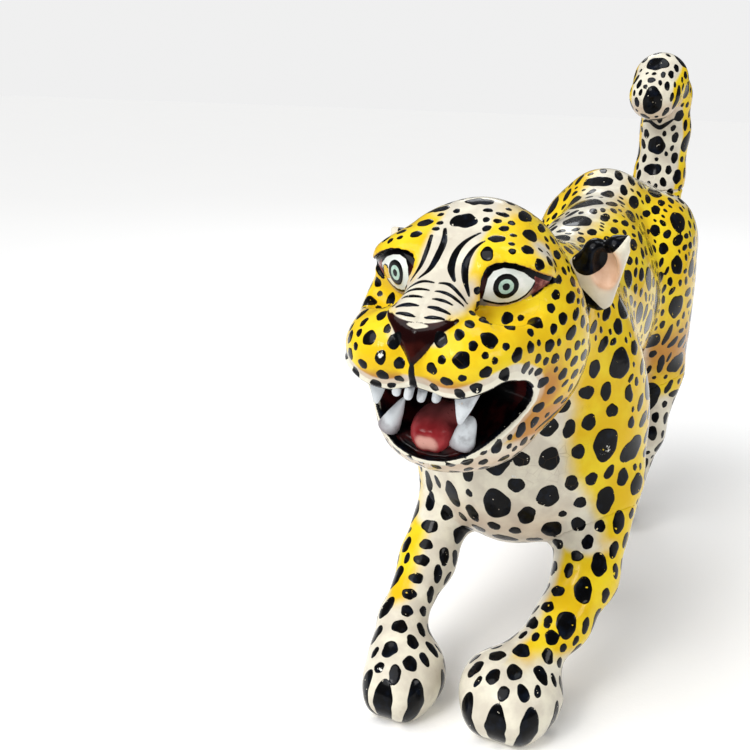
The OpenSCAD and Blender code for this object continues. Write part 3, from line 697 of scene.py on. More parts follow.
def pale(p, n):
    """How far the ground is cream rather than yellow: 0 to 1."""
    x, y, z = p.T
    head_part = on_head(p)
    ridge = np.exp(-(((x + 8) / 19) ** 2)) * smooth(0.30, 0.75, n[:, 2]) * smooth(-140, -60, y)
    near_edge = 40 + 0.55 * np.maximum(135 - z, 0) + 1.5 * np.sin(z / 9.0)
    chest = smooth(13, -11, x - near_edge) * smooth(0.1, -0.3, n[:, 1]) * smooth(-105, -125, y)
    chest = chest * smooth(215, 190, z) * smooth(-66, -44, x) * smooth(84, 93, z)
    belly = smooth(-0.2, -0.7, n[:, 2]) * smooth(40, 80, z)
    fore = smooth(-60, -100, y)
    left_axis = np.interp(z, (38, 50, 70, 100, 118), (36, 45, 51, 50, 47))
    inner = smooth(-6, -18, x - left_axis) * smooth(0, 10, x) * smooth(98, 90, z) * fore
    collar = 0.6 * np.exp(-(((z - 93) / 6) ** 2)) * smooth(40, 50, x) * smooth(-128, -140, y)
    paws = smooth(54, 34, z + 0.15 * (y + 200)) * fore
    outer = smooth(-34, -50, x) * smooth(46, 60, z) * smooth(104, 88, z)
    right_leg = smooth(-10, -20, x) * smooth(102, 88, z) * fore * (1 - outer)
    hind = smooth(118, 96, z) * smooth(40, 70, y)
    strip = smooth(0.88, 0.72, np.abs(n[:, 0])) * smooth(150, 180, y) * smooth(236, 256, z)
    strip = strip * np.maximum(smooth(0.0, -0.3, n[:, 1]), smooth(0.3, 0.5, n[:, 2]) * smooth(262, 250, y))
    of_body = np.max([ridge, chest, belly, inner, collar, paws, right_leg, hind, strip], 0)
    crown = smooth(17, 9, np.abs(x)) * smooth(236, 242, z) * smooth(-170, -205, y)
    top = np.exp(-((x / 26) ** 2)) * smooth(282, 290, z)
    brow = np.exp(-(((np.abs(x) - 39) / 8) ** 2) - ((z - 274) / 8) ** 2 - ((y + 222) / 12) ** 2)
    inner_eye = np.exp(-(((np.abs(x) - 14) / 5) ** 2) - ((z - 257) / 8) ** 2) * smooth(-235, -250, y)
    lip_band = smooth(8.5, 5.5, lips(p)) * smooth(-225, -250, y)
    chin = smooth(190, 182, z) * smooth(-160, -185, y)
    of_head = np.max([crown, top, brow, inner_eye, lip_band, chin], 0)
    return of_body * (1 - head_part) + of_head * head_part


def warm(p, n):
    """Painted shade that turns the ground deep orange yellow or light brown, 0 to 1: underneath, flank, mouth
    corners, jaw, nose.
    """
    x, y, z = p.T
    corner = np.exp(-(((np.abs(x) - 48) / 9) ** 2) - ((y + 236) / 13) ** 2 - ((z - 212) / 18) ** 2)
    jaw = smooth(212, 196, z) * smooth(-150, -190, y) * smooth(26, 40, np.abs(x)) * 0.9
    under = smooth(-0.1, -0.6, n[:, 2]) * smooth(60, 110, z) * 0.8
    flank = np.exp(-(((z - 145) / 26) ** 2)) * smooth(-20, 60, y) * 0.8
    nose_side = np.exp(-(((np.abs(x) - 17) / 5) ** 2) - ((z - 262) / 12) ** 2) * smooth(-240, -252, y) * 0.4
    return np.max([corner * on_head(p), jaw * on_head(p), under, flank, nose_side], 0)


def coarse_figure(p):
    """The figure and its ears, which marks are spread over."""
    return np.minimum(figure(p), ear(mirrored(p)))


# Spacing of the points that marks are laid on, the half width from which a mark is a large one, and
# the distance that a point has while there are no marks.
MARK_STEP, LARGE, FAR = 2.4, 3.4, 1e3
# How far round a piece and round a stroke the ink is looked for.
NEAR_PIECE, NEAR_STROKE = 16, 5
# Steps that spread the sizes, turns and lengths of scattered ovals evenly.
SIZE_STEP, SPIN_STEP, LENGTH_STEP = 0.618, 0.7548, 0.5698


class Marks:
    """All black marks of the figure: ovals as tangent discs, strokes as tapered rods.

    For each point of a coarse surface, free is the distance to any mark and big to a large one.
    """

    def __init__(self):
        self.ovals = []
        self.strokes = []
        low, high = node_grid(sorted(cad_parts))
        self.points, _ = surface(coarse_figure, low, high, MARK_STEP)
        self.points = self.points.astype(np.float32)
        self.normals = unit(gradient(coarse_figure, self.points, 1.0))
        self.near = kdtree.KDTree(len(self.points))
        for i, point in enumerate(self.points):
            self.near.insert(point, i)
        self.near.balance()
        self.free = np.full(len(self.points), FAR)
        self.big = np.full(len(self.points), FAR)

    def run(self, at, normal, spin):
        """Direction in the surface that ovals are stretched along."""
        grain = np.array((0.0, 1.0, 0.25))
        chest = normal[1] < -0.45 and at[2] < 200
        tail = at[1] > 200 and at[2] > 258
        if at[2] < 105 or chest or tail:
            grain = np.array((0.0, 0.25, 1.0))
        along = grain - normal * (grain @ normal)
        if np.linalg.norm(along) < 0.3:
            along = np.array((1.0, 0.0, 0.0)) - normal * normal[0]
        along = along / np.linalg.norm(along)
        across = np.cross(normal, along)
        return along * math.cos(spin) + across * math.sin(spin)

    def oval(self, at, across, along, spin=0.0, normal=None):
        """Lays an oval of these half sizes, facing as the nearest point does if no way is given."""
        at = np.array(at, float)
        if normal is None:
            normal = self.normals[((self.points - at) ** 2).sum(1).argmin()].astype(float)
        u = self.run(at, normal, spin)
        mark = (at, normal, u, np.cross(normal, u), across, along)
        self.ovals.append(mark)
        d = self.edge(self.points, mark, True)
        self.free = np.minimum(self.free, d)
        if min(across, along) > LARGE:
            self.big = np.minimum(self.big, d)

    @staticmethod
    def edge(points, mark, round_about):
        """Distance to an oval's edge, negative inside, in the oval's own plane or all round it."""
        at, normal, u, v, across, along = mark
        q = points - at
        a, b = q @ u, q @ v
        h = (q @ normal) if round_about else 0.0
        k0 = np.sqrt((a / along) ** 2 + (b / across) ** 2 + (h / across) ** 2)
        k1 = np.sqrt((a / along**2) ** 2 + (b / across**2) ** 2 + (h / across**2) ** 2)
        return k0 * (k0 - 1) / np.maximum(k1, 1e-9)

    def stroke(self, points, widths):
        """Lays a stroke along these points, moved on to the surface."""
        curve, half = drawn(points, widths)
        curve = onto(figure_with_parts, curve)
        self.strokes.append((curve, half))
        for at, w in zip(curve, half):
            d = np.linalg.norm(self.points - at, axis=1) - w
            self.free = np.minimum(self.free, d)

    def scatter(self, across, stretch, gap, big_gap, rng):
        """Fills what is free with ovals of the given half width, where that is above 0."""
        order = rng.permutation(len(self.points))
        for i in order:
            r = across[i] * (0.85 + 0.3 * ((i * SIZE_STEP) % 1))
            if r <= 0 or self.free[i] < r + gap[i] or self.big[i] < r + big_gap[i]:
                continue
            jitter = (((i * SPIN_STEP) % 1) - 0.5) * 0.7
            normal = self.normals[i].astype(float)
            run = self.run(self.points[i], normal, jitter)
            along = r * stretch[i] * (0.9 + 0.3 * ((i * LENGTH_STEP) % 1))
            tips = [self.near.find(self.points[i] + run * along * end)[1] for end in (-1, 1)]
            if min(self.free[t] for t in tips) < gap[i] * 0.8:
                along = r
            self.oval(self.points[i], r, along, jitter, normal)

    def add_oval(self, k, points, normals, best):
        """Adds oval k, its outline a little lumpy, to the ink of the points near it."""
        at, normal, u, v, across, along = self.ovals[k]
        reach = along + LIMIT
        near = np.flatnonzero(np.abs(points - at).max(1) < reach)
        q = points[near] - at
        angle = np.arctan2(q @ v, q @ u)
        lumpy = 0.05 * np.sin(3 * angle + k * 1.7) + 0.04 * np.sin(5 * angle + k * 2.9)
        d = -self.edge(points[near], self.ovals[k], False) + lumpy * across
        facing = (normals[near] @ normal > 0.25) & (np.abs(q @ normal) < reach * 0.8)
        best[near] = np.maximum(best[near], np.where(facing, d, -LIMIT))

    @staticmethod
    def add_stroke(curve, half, points, best):
        """Adds a stroke to the ink of the points near it."""
        low, high = curve.min(0) - NEAR_STROKE, curve.max(0) + NEAR_STROKE
        near = np.flatnonzero((points > low).all(1) & (points < high).all(1))
        for a, b, ra, rb in zip(curve, curve[1:], half, half[1:]):
            best[near] = np.maximum(best[near], -bone(points[near], a, b, ra, rb))

    def ink(self, points, normals):
        """Signed distance to the marks at vertices, positive inside."""
        best = np.full(len(points), -LIMIT)
        low, high = points.min(0) - NEAR_PIECE, points.max(0) + NEAR_PIECE
        for k, (at, *_) in enumerate(self.ovals):
            if (at >= low).all() and (at <= high).all():
                self.add_oval(k, points, normals, best)
        for curve, half in self.strokes:
            if (curve.min(0) <= high).all() and (curve.max(0) >= low).all():
                self.add_stroke(curve, half, points, best)
        return best


def flip(point):
    return (-point[0], point[1], point[2])


def lay_toes(marks):
    """Long marks round the front of the forepaws."""
    for centre, (rx, ry), angles in TOES:
        for angle in angles:
            a = math.radians(angle)
            reach = math.hypot(rx * math.sin(a), ry * math.cos(a))
            x = centre[0] + rx * rx * math.sin(a) / reach
            y = centre[1] - ry * ry * math.cos(a) / reach
            across, along = TOE_FRONT if abs(angle) < TOE_TURN else TOE_SIDE
            marks.oval(onto(figure, [(x, y, TOE_HEIGHT)])[0], across, along)


def lay_placed(marks):
    """The marks that have a place of their own: ovals, strokes and toe marks."""
    for x, y, z, across, along in FACE_OVALS + CHEST_OVALS + LEG_OVALS + BODY_OVALS + TAIL_OVALS:
        marks.oval(onto(figure, [(x, y, z)])[0], across, along)
    for points, widths in [*STROKES, TAIL_LINE]:
        marks.stroke(points, widths)
    for points, widths in STROKES_BOTH:
        marks.stroke(points, widths)
        marks.stroke([flip(q) for q in points], widths)
    lay_toes(marks)


# Three passes of scattered dots, from large to small. Each has half width, stretch, gap to any
# mark and gap to a large one, for face, cheek, chest, legs, tail and the rest of the coat.
SCATTER_SEED = 11
SCATTER = [
    ((0, 0, 6.0, 4.8, 5.6, 7.0), (1, 1, 1.2, 1.4, 1.3, 1.5), (9, 9, 5, 5, 5, 5), (9, 9, 6, 8, 7, 12)),
    ((2.7, 2.5, 4.2, 3.3, 3.0, 3.2), (1.2, 1.7, 1.3, 1.5, 1.5, 2.2),
     (2.4, 2.4, 3.6, 2.8, 2.6, 3.0), (4.5, 4.5, 3.4, 2.8, 2.6, 3.0)),
    ((1.9, 1.7, 3.0, 2.3, 1.9, 2.0), (1.1, 1.9, 1.3, 1.6, 1.5, 2.3),
     (1.5, 1.5, 3.4, 2.1, 1.7, 2.0), (1.8, 1.7, 3.2, 2.1, 1.7, 2.0)),
]


def regions(p, n):
    """Face, cheek, chest, legs, tail and the rest of the coat, as masks."""
    x, y, z = p.T
    face = on_head(p) > 0.5
    cheek = face & (np.abs(x) > 40) & (y > -225)
    chest = (n[:, 1] < -0.35) & ~face & (z > 82) & (z < 205) & (y < 0)
    legs = (z < 105) & ~face & ~chest
    is_tail = (y > 195) & (z > 250)
    return face & ~cheek, cheek, chest, legs, is_tail, ~(face | chest | legs | is_tail)


def kept_bare(p, n, face):
    """Where no dot is scattered: mouth, nose, eyes, forehead strokes, toes, soles and ears."""
    x, y, z = p.T
    u, _, v = eye_local(p)
    eyes = lids(u, v) > -3.4
    bare = (lips(p) < 2.5) | ((nose(p) < 1.5) & face) | (z < 1.5) | (eyes & face & (y < -215))
    bare |= (np.abs(x) < 12) & face & (z > 248) & (y < -229) & (z < 284)
    bare |= (z < 33) & (y < -200) & (n[:, 2] < 0.75)
    bare |= (lips(p) < 4.5) & face & (np.abs(x) > 33)
    return bare | (ear(mirrored(p)) < 0.5)


def lay_marks():
    """All marks of the figure: the placed ones, then three sizes scattered in what is left."""
    marks = Marks()
    lay_placed(marks)
    masks = regions(marks.points, marks.normals)
    bare = kept_bare(marks.points, marks.normals, masks[0] | masks[1])
    rng = np.random.default_rng(SCATTER_SEED)
    for table in SCATTER:
        per_region = [sum(mask * value for mask, value in zip(masks, row)) for row in table]
        marks.scatter(*(np.where(bare, 0.0, values) for values in per_region), rng)
    return marks


def normals_of(mesh):
    n = np.empty(len(mesh.vertices) * 3, np.float32)
    mesh.vertices.foreach_get("normal", n)
    return n.reshape(-1, 3)


def points_of(mesh):
    co = np.empty(len(mesh.vertices) * 3, np.float32)
    mesh.vertices.foreach_get("co", co)
    return co.reshape(-1, 3) / MM


# Paint fields are distances in millimetres, positive inside, that stop at this far from an edge.
LIMIT = 4.0


def keep(mesh, **fields):
    """Stores numbers per vertex, each set under its own name."""
    for name, values in fields.items():
        layer = mesh.attributes.new(name, "FLOAT", "POINT")
        layer.data.foreach_set("value", np.asarray(values, np.float32))


def limited(values):
    return np.clip(values, -LIMIT, LIMIT)


def face_paint(p, n):
    """Fields of the mouth's inside, its edge line, the nose, the lids and the lips' pale rim."""
    face = (on_head(p) > 0.5) & (p[:, 1] < -205)
    depth, hollow, m = -skull(p), lips(p), mirrored(p)
    inside = np.where(face & (hollow < 1.2), np.minimum(depth - 0.4, 0.35 - hollow), -LIMIT)
    inside = np.where(face & (gums(m) < 0.8) & (hollow < 0.5), 2.0, inside)
    upper = p[:, 2] > np.where(np.abs(p[:, 0]) < 32, 206, 214)
    edge = np.where(face, np.where(upper, 1.3, 0.45) - np.abs(hollow - 0.1), -LIMIT)
    edge = np.where(depth > 3, -LIMIT, edge)
    snout = np.where(face & (p[:, 1] < -268), 0.6 - nose(p), -LIMIT)
    snout = np.where(p[:, 1] > -274, np.minimum(snout, -0.6 - nose(p)), snout)
    snout = np.minimum(snout, (0.8 - n[:, 2]) * 4)
    u, out, v = eye_local(p)
    by_eye = face & (m[:, 0] > 10) & (out > -4) & (p[:, 1] < -212) & ((v > 0) | (u > 9))
    lid = np.where(by_eye, lids(u, v) + 0.25, -LIMIT)
    return inside, edge, snout, lid, np.where(face, 3.9 - hollow, -LIMIT)


def chips(p):
    """1 in the middle of each chipped place, 0 away from them."""
    chip = np.zeros(len(p))
    for at, reach in CHIPS:
        chip = np.maximum(chip, 1 - np.linalg.norm(p - np.array(at), axis=1) / reach)
    return chip


def paint(piece, marks):
    """Gives a coat piece its per-vertex paint fields."""
    p, n = points_of(piece.data), normals_of(piece.data)
    inside, edge, snout, lid, rim = face_paint(p, n)
    ink = np.max([marks.ink(p, n), edge, lid], 0)
    # One of these fields is painted shade, for under the body, the flank, the mouth's corners, the jaw and
    # the nose's sides.
    keep(piece.data, ink=limited(ink), inside=limited(inside), snout=limited(snout), rim=limited(rim),
         pale=np.where(p[:, 2] > 0, pale(p, n), 1), warm=warm(p, n), flesh=np.zeros(len(p)), chip=chips(p))


def ear_ink(p):
    """Black top, lower front patch and back rim of an ear."""
    m = mirrored(p)
    x, y, z = m.T
    lobe_in = 9.5 - np.hypot(x - 46, (z - 264) * 0.9)
    top = z - (265 + 0.12 * (x - 56) ** 2 * (x > 56))
    patch = np.minimum(245.5 - z - 1.0 * (x - 46), -161 - y)
    behind = np.minimum(y + 160, z - 256)
    return np.max([top, lobe_in, patch, behind], 0)


EAR_FLESH, EAR_FLESH_SIZE = (56, -168, 258), (7.5, 8, 11.5)


def paint_ear(piece):
    """Gives an ear its paint fields: black edges round a pale front with a flesh-coloured cup."""
    p, n = points_of(piece.data), normals_of(piece.data)
    none, zero = np.full(len(p), -LIMIT), np.zeros(len(p))
    from_cup = ellipsoid(mirrored(p), EAR_FLESH, EAR_FLESH_SIZE, EAR_CUP_TURN)
    keep(piece.data, ink=limited(ear_ink(p)), inside=none, snout=none, rim=none,
         pale=smooth(0.2, -0.3, n[:, 1]), warm=zero, flesh=np.exp(-np.maximum(from_cup, 0) / 1.2),
         chip=chips(p))


COAT_IOR, SPECULAR = 1.19, 0.03


class Shader:
    """Small helper that builds one material's nodes."""

    def __init__(self, name, roughness, coat, coat_roughness=0.06):
        self.material = bpy.data.materials.new(name)
        self.material.use_nodes = True
        self.tree = self.material.node_tree
        self.surface = self.tree.nodes["Principled BSDF"]
        self.set(self.surface, "Roughness", roughness)
        self.set(self.surface, "Coat Weight", coat)
        self.set(self.surface, "Coat Roughness", coat_roughness)
        self.set(self.surface, "Coat IOR", COAT_IOR)
        self.set(self.surface, "Specular IOR Level", SPECULAR)
        self.object_space = self.add("TexCoord").outputs["Object"]

    def set(self, node, key, value):
        socket = node.inputs[key]
        if isinstance(value, bpy.types.NodeSocket):
            self.tree.links.new(value, socket)
        else:
            socket.default_value = value

    def add(self, kind, inputs=(), **settings):
        node = self.tree.nodes.new("ShaderNode" + kind)
        for key, value in settings.items():
            setattr(node, key, value)
        for key, value in dict(inputs).items():
            self.set(node, key, value)
        return node

    def math(self, operation, a, b):
        return self.add("Math", {0: a, 1: b}, operation=operation).outputs[0]

    def plus(self, a, b):
        return self.math("ADD", a, b)

    def minus(self, a, b):
        return self.math("SUBTRACT", a, b)

    def times(self, a, b):
        return self.math("MULTIPLY", a, b)

    def value(self, name):
        """One of the per-vertex paint fields."""
        return self.add("Attribute", attribute_name=name).outputs["Fac"]

    def noise(self, scale, detail=3.0, roughness=0.55, stretch=None, distortion=0.0):
        where = self.object_space
        if stretch:
            where = self.add("Mapping", {"Vector": where, "Scale": stretch}).outputs[0]
        inputs = {"Vector": where, "Scale": scale, "Detail": detail, "Roughness": roughness,
                  "Distortion": distortion}
        return self.add("TexNoise", inputs).outputs["Fac"]

    def cells(self, scale):
        """Distance to the edges of random cells."""
        inputs = {"Vector": self.object_space, "Scale": scale}
        return self.add("TexVoronoi", inputs, feature="DISTANCE_TO_EDGE").outputs["Distance"]

    def step(self, x, low, high):
        """0 to 1 as x goes from low to high, which may be the smaller one."""
        inputs = {"Value": x, "From Min": low, "From Max": high}
        return self.add("MapRange", inputs, interpolation_type="SMOOTHSTEP").outputs["Result"]

    def mix(self, factor, a, b):
        node = self.add("Mix", data_type="RGBA")
        for key, value in (("Factor_Float", factor), ("A_Color", a), ("B_Color", b)):
            socket = next(s for s in node.inputs if s.identifier == key)
            if isinstance(value, bpy.types.NodeSocket):
                self.tree.links.new(value, socket)
            elif key == "Factor_Float":
                socket.default_value = value
            else:
                socket.default_value = (*value, 1.0)
        return next(s for s in node.outputs if s.identifier == "Result_Color")

    def mottle(self, scale, detail, low, high, a, b):
        """Two colours in patches."""
        return self.mix(self.step(self.noise(scale, detail), low, high), a, b)

    def colour(self, value):
        self.set(self.surface, "Base Color", value)

    def gloss(self, base, scale, spread):
        """Roughness that wanders a little."""
        self.set(self.surface, "Roughness", self.plus(base, self.times(self.noise(scale, 3), spread)))

    def relief(self, height, distance):
        bump = self.add("Bump", {"Height": height, "Distance": distance})
        self.set(self.surface, "Normal", bump.outputs["Normal"])
        self.set(self.surface, "Coat Normal", bump.outputs["Normal"])


# The last colour on each of the next two lines is painted shade, for yellow and for cream.
YELLOW, DEEP_YELLOW, YELLOW_SHADE = (0.86, 0.65, 0.022), (0.78, 0.50, 0.010), (0.50, 0.22, 0.04)
CREAM, CREAM_GREY, CREAM_SHADE = (0.82, 0.78, 0.64), (0.64, 0.59, 0.49), (0.55, 0.33, 0.2)
# The second black is the first with a painted bluish sheen.
BLACK, BLACK_BLUE_SHEEN = (0.0015, 0.0015, 0.002), (0.005, 0.008, 0.016)
NOSE_DARK, NOSE_RED, THROAT_RED = (0.010, 0.001, 0.001), (0.045, 0.006, 0.004), (0.040, 0.005, 0.005)
FLESH_DARK, FLESH = (0.50, 0.26, 0.15), (0.78, 0.55, 0.40)
DIRT, CRACK, GESSO = (0.30, 0.17, 0.06), (0.20, 0.12, 0.05), (0.80, 0.80, 0.74)


def grain_and_brush(s):
    """Height of the faint wood grain and brush strokes under the varnish."""
    grain = s.noise(55, 5, 0.6, stretch=(6, 1, 6))
    brush = s.noise(160, 4, 0.6, distortion=0.6)
    return s.plus(s.times(grain, 0.5), s.times(brush, 0.5))


def cracks(s, scale, patches):
    """0 to 1 along fine cracks, in patches only."""
    line = s.step(s.cells(scale), 0.03, 0.0)
    return s.times(line, s.step(s.noise(patches, 2), 0.60, 0.72))


def coat_ground(s, fray):
    """Yellow and cream with their painted shade in deep orange and light brown, dirt, and the flesh colour of
    the ears.
    """
    soft = s.noise(45, 4)
    yellow = s.mix(s.step(soft, 0.35, 0.7), DEEP_YELLOW, YELLOW)
    # Painted shade: yellow turns deep orange under the body, on the flank, at the mouth's corners, on the jaw
    # and beside the nose.
    shade_amount = s.step(s.plus(s.value("warm"), s.times(fray, 0.3)), 0.15, 0.9)
    yellow = s.mix(shade_amount, yellow, YELLOW_SHADE)
    cream = s.mottle(70, 4, 0.35, 0.7, CREAM_GREY, CREAM)
    # Painted shade: cream turns light brown in the same places.
    cream = s.mix(s.times(s.value("warm"), 0.55), cream, CREAM_SHADE)
    creamy = s.plus(s.value("pale"), s.times(s.minus(soft, 0.5), 0.7))
    ground = s.mix(s.step(creamy, 0.15, 0.90), yellow, cream)
    ground = s.mix(s.step(s.plus(s.value("rim"), fray), -0.3, 0.4), ground, CREAM)
    flesh = s.mix(s.step(soft, 0.3, 0.7), FLESH_DARK, FLESH)
    ground = s.mix(s.value("flesh"), ground, flesh)
    dirt = s.step(s.noise(110, 5, 0.65), 0.60, 0.78)
    return s.mix(s.times(dirt, 0.22), ground, DIRT)


def coat_material():
    """Ground, mouth and nose, black marks with patches of painted bluish sheen and nicks, then chips down to
    the primer and cracks.
    """
    s = Shader("coat_paint", roughness=0.35, coat=1.0, coat_roughness=0.07)
    fray = s.times(s.minus(s.noise(260, 3), 0.5), 0.9)
    ground = coat_ground(s, fray)
    mouth = s.mottle(90, 3, 0.4, 0.65, BLACK, THROAT_RED)
    ground = s.mix(s.step(s.value("inside"), -0.15, 0.15), ground, mouth)
    muzzle = s.mottle(60, 2, 0.5, 0.75, NOSE_DARK, NOSE_RED)
    ground = s.mix(s.step(s.value("snout"), -0.15, 0.15), ground, muzzle)
    ink = s.plus(s.value("ink"), s.times(fray, 0.4))
    nick = s.step(s.noise(330, 2, 0.5), 0.71, 0.74)
    inked = s.times(s.step(ink, -0.10, 0.12), s.minus(1.0, nick))
    # The black marks are mottled with patches of painted bluish sheen.
    painted = s.mix(inked, ground, s.mottle(150, 3, 0.45, 0.75, BLACK, BLACK_BLUE_SHEEN))
    flake = s.plus(s.value("chip"), s.times(s.minus(s.noise(240, 4, 0.7), 0.5), 1.9))
    bare = s.step(flake, 0.78, 0.84)
    split = cracks(s, 150, 22)
    s.colour(s.mix(s.times(split, 0.30), s.mix(bare, painted, GESSO), CRACK))
    rough = s.plus(0.30, s.times(s.noise(420, 3), 0.18))
    s.set(s.surface, "Roughness", s.plus(rough, s.times(bare, 0.35)))
    height = s.plus(s.times(grain_and_brush(s), 0.30), s.times(s.step(ink, -0.35, 0.9), 0.55))
    height = s.minus(height, s.times(split, 0.25))
    s.relief(s.minus(height, s.times(bare, 0.6)), 0.00035)
    return s.material


EYE_WHITE_DULL, EYE_WHITE = (0.72, 0.77, 0.73), (0.88, 0.90, 0.88)
CORNER_DARK, CORNER_RED, INNER_CORNER = (0.10, 0.014, 0.014), (0.36, 0.12, 0.10), (0.24, 0.23, 0.23)
RIM_DARK, RIM_PALE, LID_RED = (0.42, 0.30, 0.20), (0.66, 0.52, 0.34), (0.035, 0.004, 0.004)
IRIS_DARK, IRIS_PALE = (0.36, 0.54, 0.46), (0.50, 0.68, 0.60)
# Rings of the iris, as the radii in millimetres where each fades in, outside first.
IRIS_BLACK, IRIS_GREEN, PUPIL = (6.2, 6.0), (3.75, 3.5), (1.9, 1.7)


def eye_material():
    """White, corners and lid shadow by place in the eye's plane, then the rings of the iris."""
    s = Shader("eye_paint", roughness=0.3, coat=1.0, coat_roughness=0.03)
    ragged = s.minus(s.noise(500, 2), 0.5)
    r = s.plus(s.value("iris"), s.times(ragged, 0.35))
    outward, inward = s.value("corner"), s.times(s.value("corner"), -1.0)
    white = s.mottle(120, 3, 0.4, 0.7, EYE_WHITE_DULL, EYE_WHITE)
    red = s.mottle(240, 3, 0.4, 0.65, CORNER_DARK, CORNER_RED)
    low_rim = s.mottle(200, 3, 0.4, 0.7, RIM_DARK, RIM_PALE)
    surround = s.mix(s.step(outward, 7.0, 11.0), low_rim, red)
    surround = s.mix(s.step(inward, 11.0, 13.5), surround, INNER_CORNER)
    lid = s.mix(s.step(inward, 9.0, 13.0), BLACK, LID_RED)
    surround = s.mix(s.step(s.value("lid"), -0.1, 0.1), surround, lid)
    eye = s.mix(s.step(s.value("white"), -0.12, 0.12), surround, white)
    eye = s.mix(s.step(s.plus(s.value("ink"), s.times(ragged, 0.4)), -0.1, 0.1), eye, BLACK)
    green = s.mottle(300, 2, 0.4, 0.6, IRIS_DARK, IRIS_PALE)
    for radii, paint_colour in ((IRIS_BLACK, BLACK), (IRIS_GREEN, green), (PUPIL, BLACK)):
        eye = s.mix(s.step(r, *radii), eye, paint_colour)
    split = cracks(s, 160, 60)
    s.colour(s.mix(s.times(split, 0.35), eye, (0.2, 0.12, 0.08)))
    s.gloss(0.22, 300, 0.2)
    height = s.plus(s.times(s.noise(200, 4), 0.2), s.times(s.step(r, 6.5, 5.6), 0.4))
    s.relief(s.minus(height, s.times(split, 0.3)), 0.0003)
    return s.material


def tooth_material():
    """Bluish white with grey stains, darker at the gum and chipped in places."""
    s = Shader("tooth_paint", roughness=0.3, coat=1.0, coat_roughness=0.08)
    white = s.mottle(130, 4, 0.45, 0.75, (0.66, 0.70, 0.73), (0.34, 0.35, 0.37))
    root = s.step(s.value("root"), 0.42, 0.0)
    white = s.mix(s.times(root, 0.8), white, (0.13, 0.08, 0.09))
    s.colour(s.mix(s.step(s.noise(300, 3), 0.70, 0.76), white, (0.62, 0.50, 0.36)))
    s.gloss(0.25, 300, 0.25)
    s.relief(s.noise(190, 4), 0.0005)
    return s.material


def tongue_material():
    """Red, paler pink at the back as a painted highlight on its top, paler at the cut tip, with worn specks.
    """
    s = Shader("tongue_paint", roughness=0.3, coat=1.0, coat_roughness=0.07)
    red = s.mottle(60, 3, 0.35, 0.7, (0.22, 0.012, 0.016), (0.42, 0.045, 0.05))
    # Painted highlight: the top of the tongue at the back turns pale pink.
    red = s.mix(s.times(s.value("root"), 0.7), red, (0.62, 0.20, 0.20))
    red = s.mix(s.value("flesh"), red, (0.70, 0.36, 0.30))
    worn = s.step(s.noise(260, 4, 0.6), 0.66, 0.74)
    s.colour(s.mix(s.times(worn, 0.6), red, (0.12, 0.012, 0.012)))
    s.gloss(0.22, 240, 0.3)
    s.relief(s.noise(170, 4), 0.0005)
    return s.material


def wood_material():
    """Bare turned wood of the pegs, the dowels and their bores."""
    s = Shader("bare_turned_wood", roughness=0.6, coat=0.0)
    rings = s.noise(120, 4, 0.6, stretch=(3, 3, 0.5))
    pores = s.noise(700, 3, 0.6, stretch=(4, 4, 0.6))
    wood = s.mix(s.step(rings, 0.35, 0.65), (0.36, 0.21, 0.10), (0.62, 0.44, 0.26))
    s.colour(s.mix(s.times(s.step(pores, 0.6, 0.72), 0.5), wood, (0.20, 0.11, 0.05)))
    s.set(s.surface, "Roughness", s.plus(0.5, s.times(pores, 0.3)))
    s.relief(s.plus(s.times(rings, 0.4), s.times(pores, 0.6)), 0.0004)
    return s.material


IRIS_PROUD, IRIS_STEP, EYE_STEP, TONGUE_STEP = 0.35, (6.8, 5.6), 0.5, 0.9


def from_iris(u, v):
    """Distance from the middle of the iris."""
    return np.hypot(u - IRIS_AT[0], v - IRIS_AT[1])


def eye_field(side):
    """Field of one eye, its painted iris standing slightly proud."""

    def field(p):
        wrong_side = -p[..., 0] * side + 4
        u, _, v = eye_local(p)
        proud = IRIS_PROUD * smooth(*IRIS_STEP, from_iris(u, v))
        return np.maximum(eye_lens(p) - proud, wrong_side)

    return field


def make_eye(side, name, material):
    piece = sculpt(name, eye_field(side), [name], EYE_STEP, "figure")
    u, _, v = eye_local(points_of(piece.data))
    white = between(u, v, WHITE_LOW, WHITE_TOP)
    above = v - height_of(WHITE_TOP, u)
    tip = np.minimum(u - 9, 3.2 - np.abs(height_of(LID_TOP, u) - v))
    lid = np.where(u < WHITE_TOP[-1][0], np.where(v > -3, above, -LIMIT), tip)
    under = np.where(v < 3, 0.55 - np.abs(white + 0.4), -LIMIT)
    keep(piece.data, iris=from_iris(u, v), white=limited(white), corner=u, lid=limited(lid),
         ink=limited(under))
    piece.data.materials.append(material)
    piece.name = name + "_lens"


# Foot and tip in millimetres, radius at each, and how far the tooth leans, as a part of its length.
TEETH = {
    "upper_canine_left": ((21.5, -271, 219), (19.5, -277, 202.3), 8.2, 1.5, 0.02),
    "upper_canine_right": ((-24.5, -267, 219), (-24, -271, 204), 6.0, 1.3, 0.0),
    "lower_canine_left": ((13.5, -255, 183), (18, -257.5, 199), 7.6, 4.2, 0.0),
    "lower_canine_right": ((-25, -255, 186), (-15, -259, 204.5), 7.2, 1.2, 0.0),
    "upper_incisor_1": ((-11, -276, 218), (-11, -279, 212), 2.5, 2.2, 0.05),
    "upper_incisor_2": ((-4.5, -276, 218), (-4.5, -280, 211.4), 2.5, 2.2, 0.0),
    "upper_incisor_3": ((2, -276, 218), (2, -280, 211.2), 2.6, 2.2, 0.0),
    "upper_incisor_4": ((9, -276, 218), (9, -279, 211.6), 2.6, 2.2, -0.05),
}
TOOTH_SEED, TOOTH_SIDES, TOOTH_RINGS = 5, 9, 8


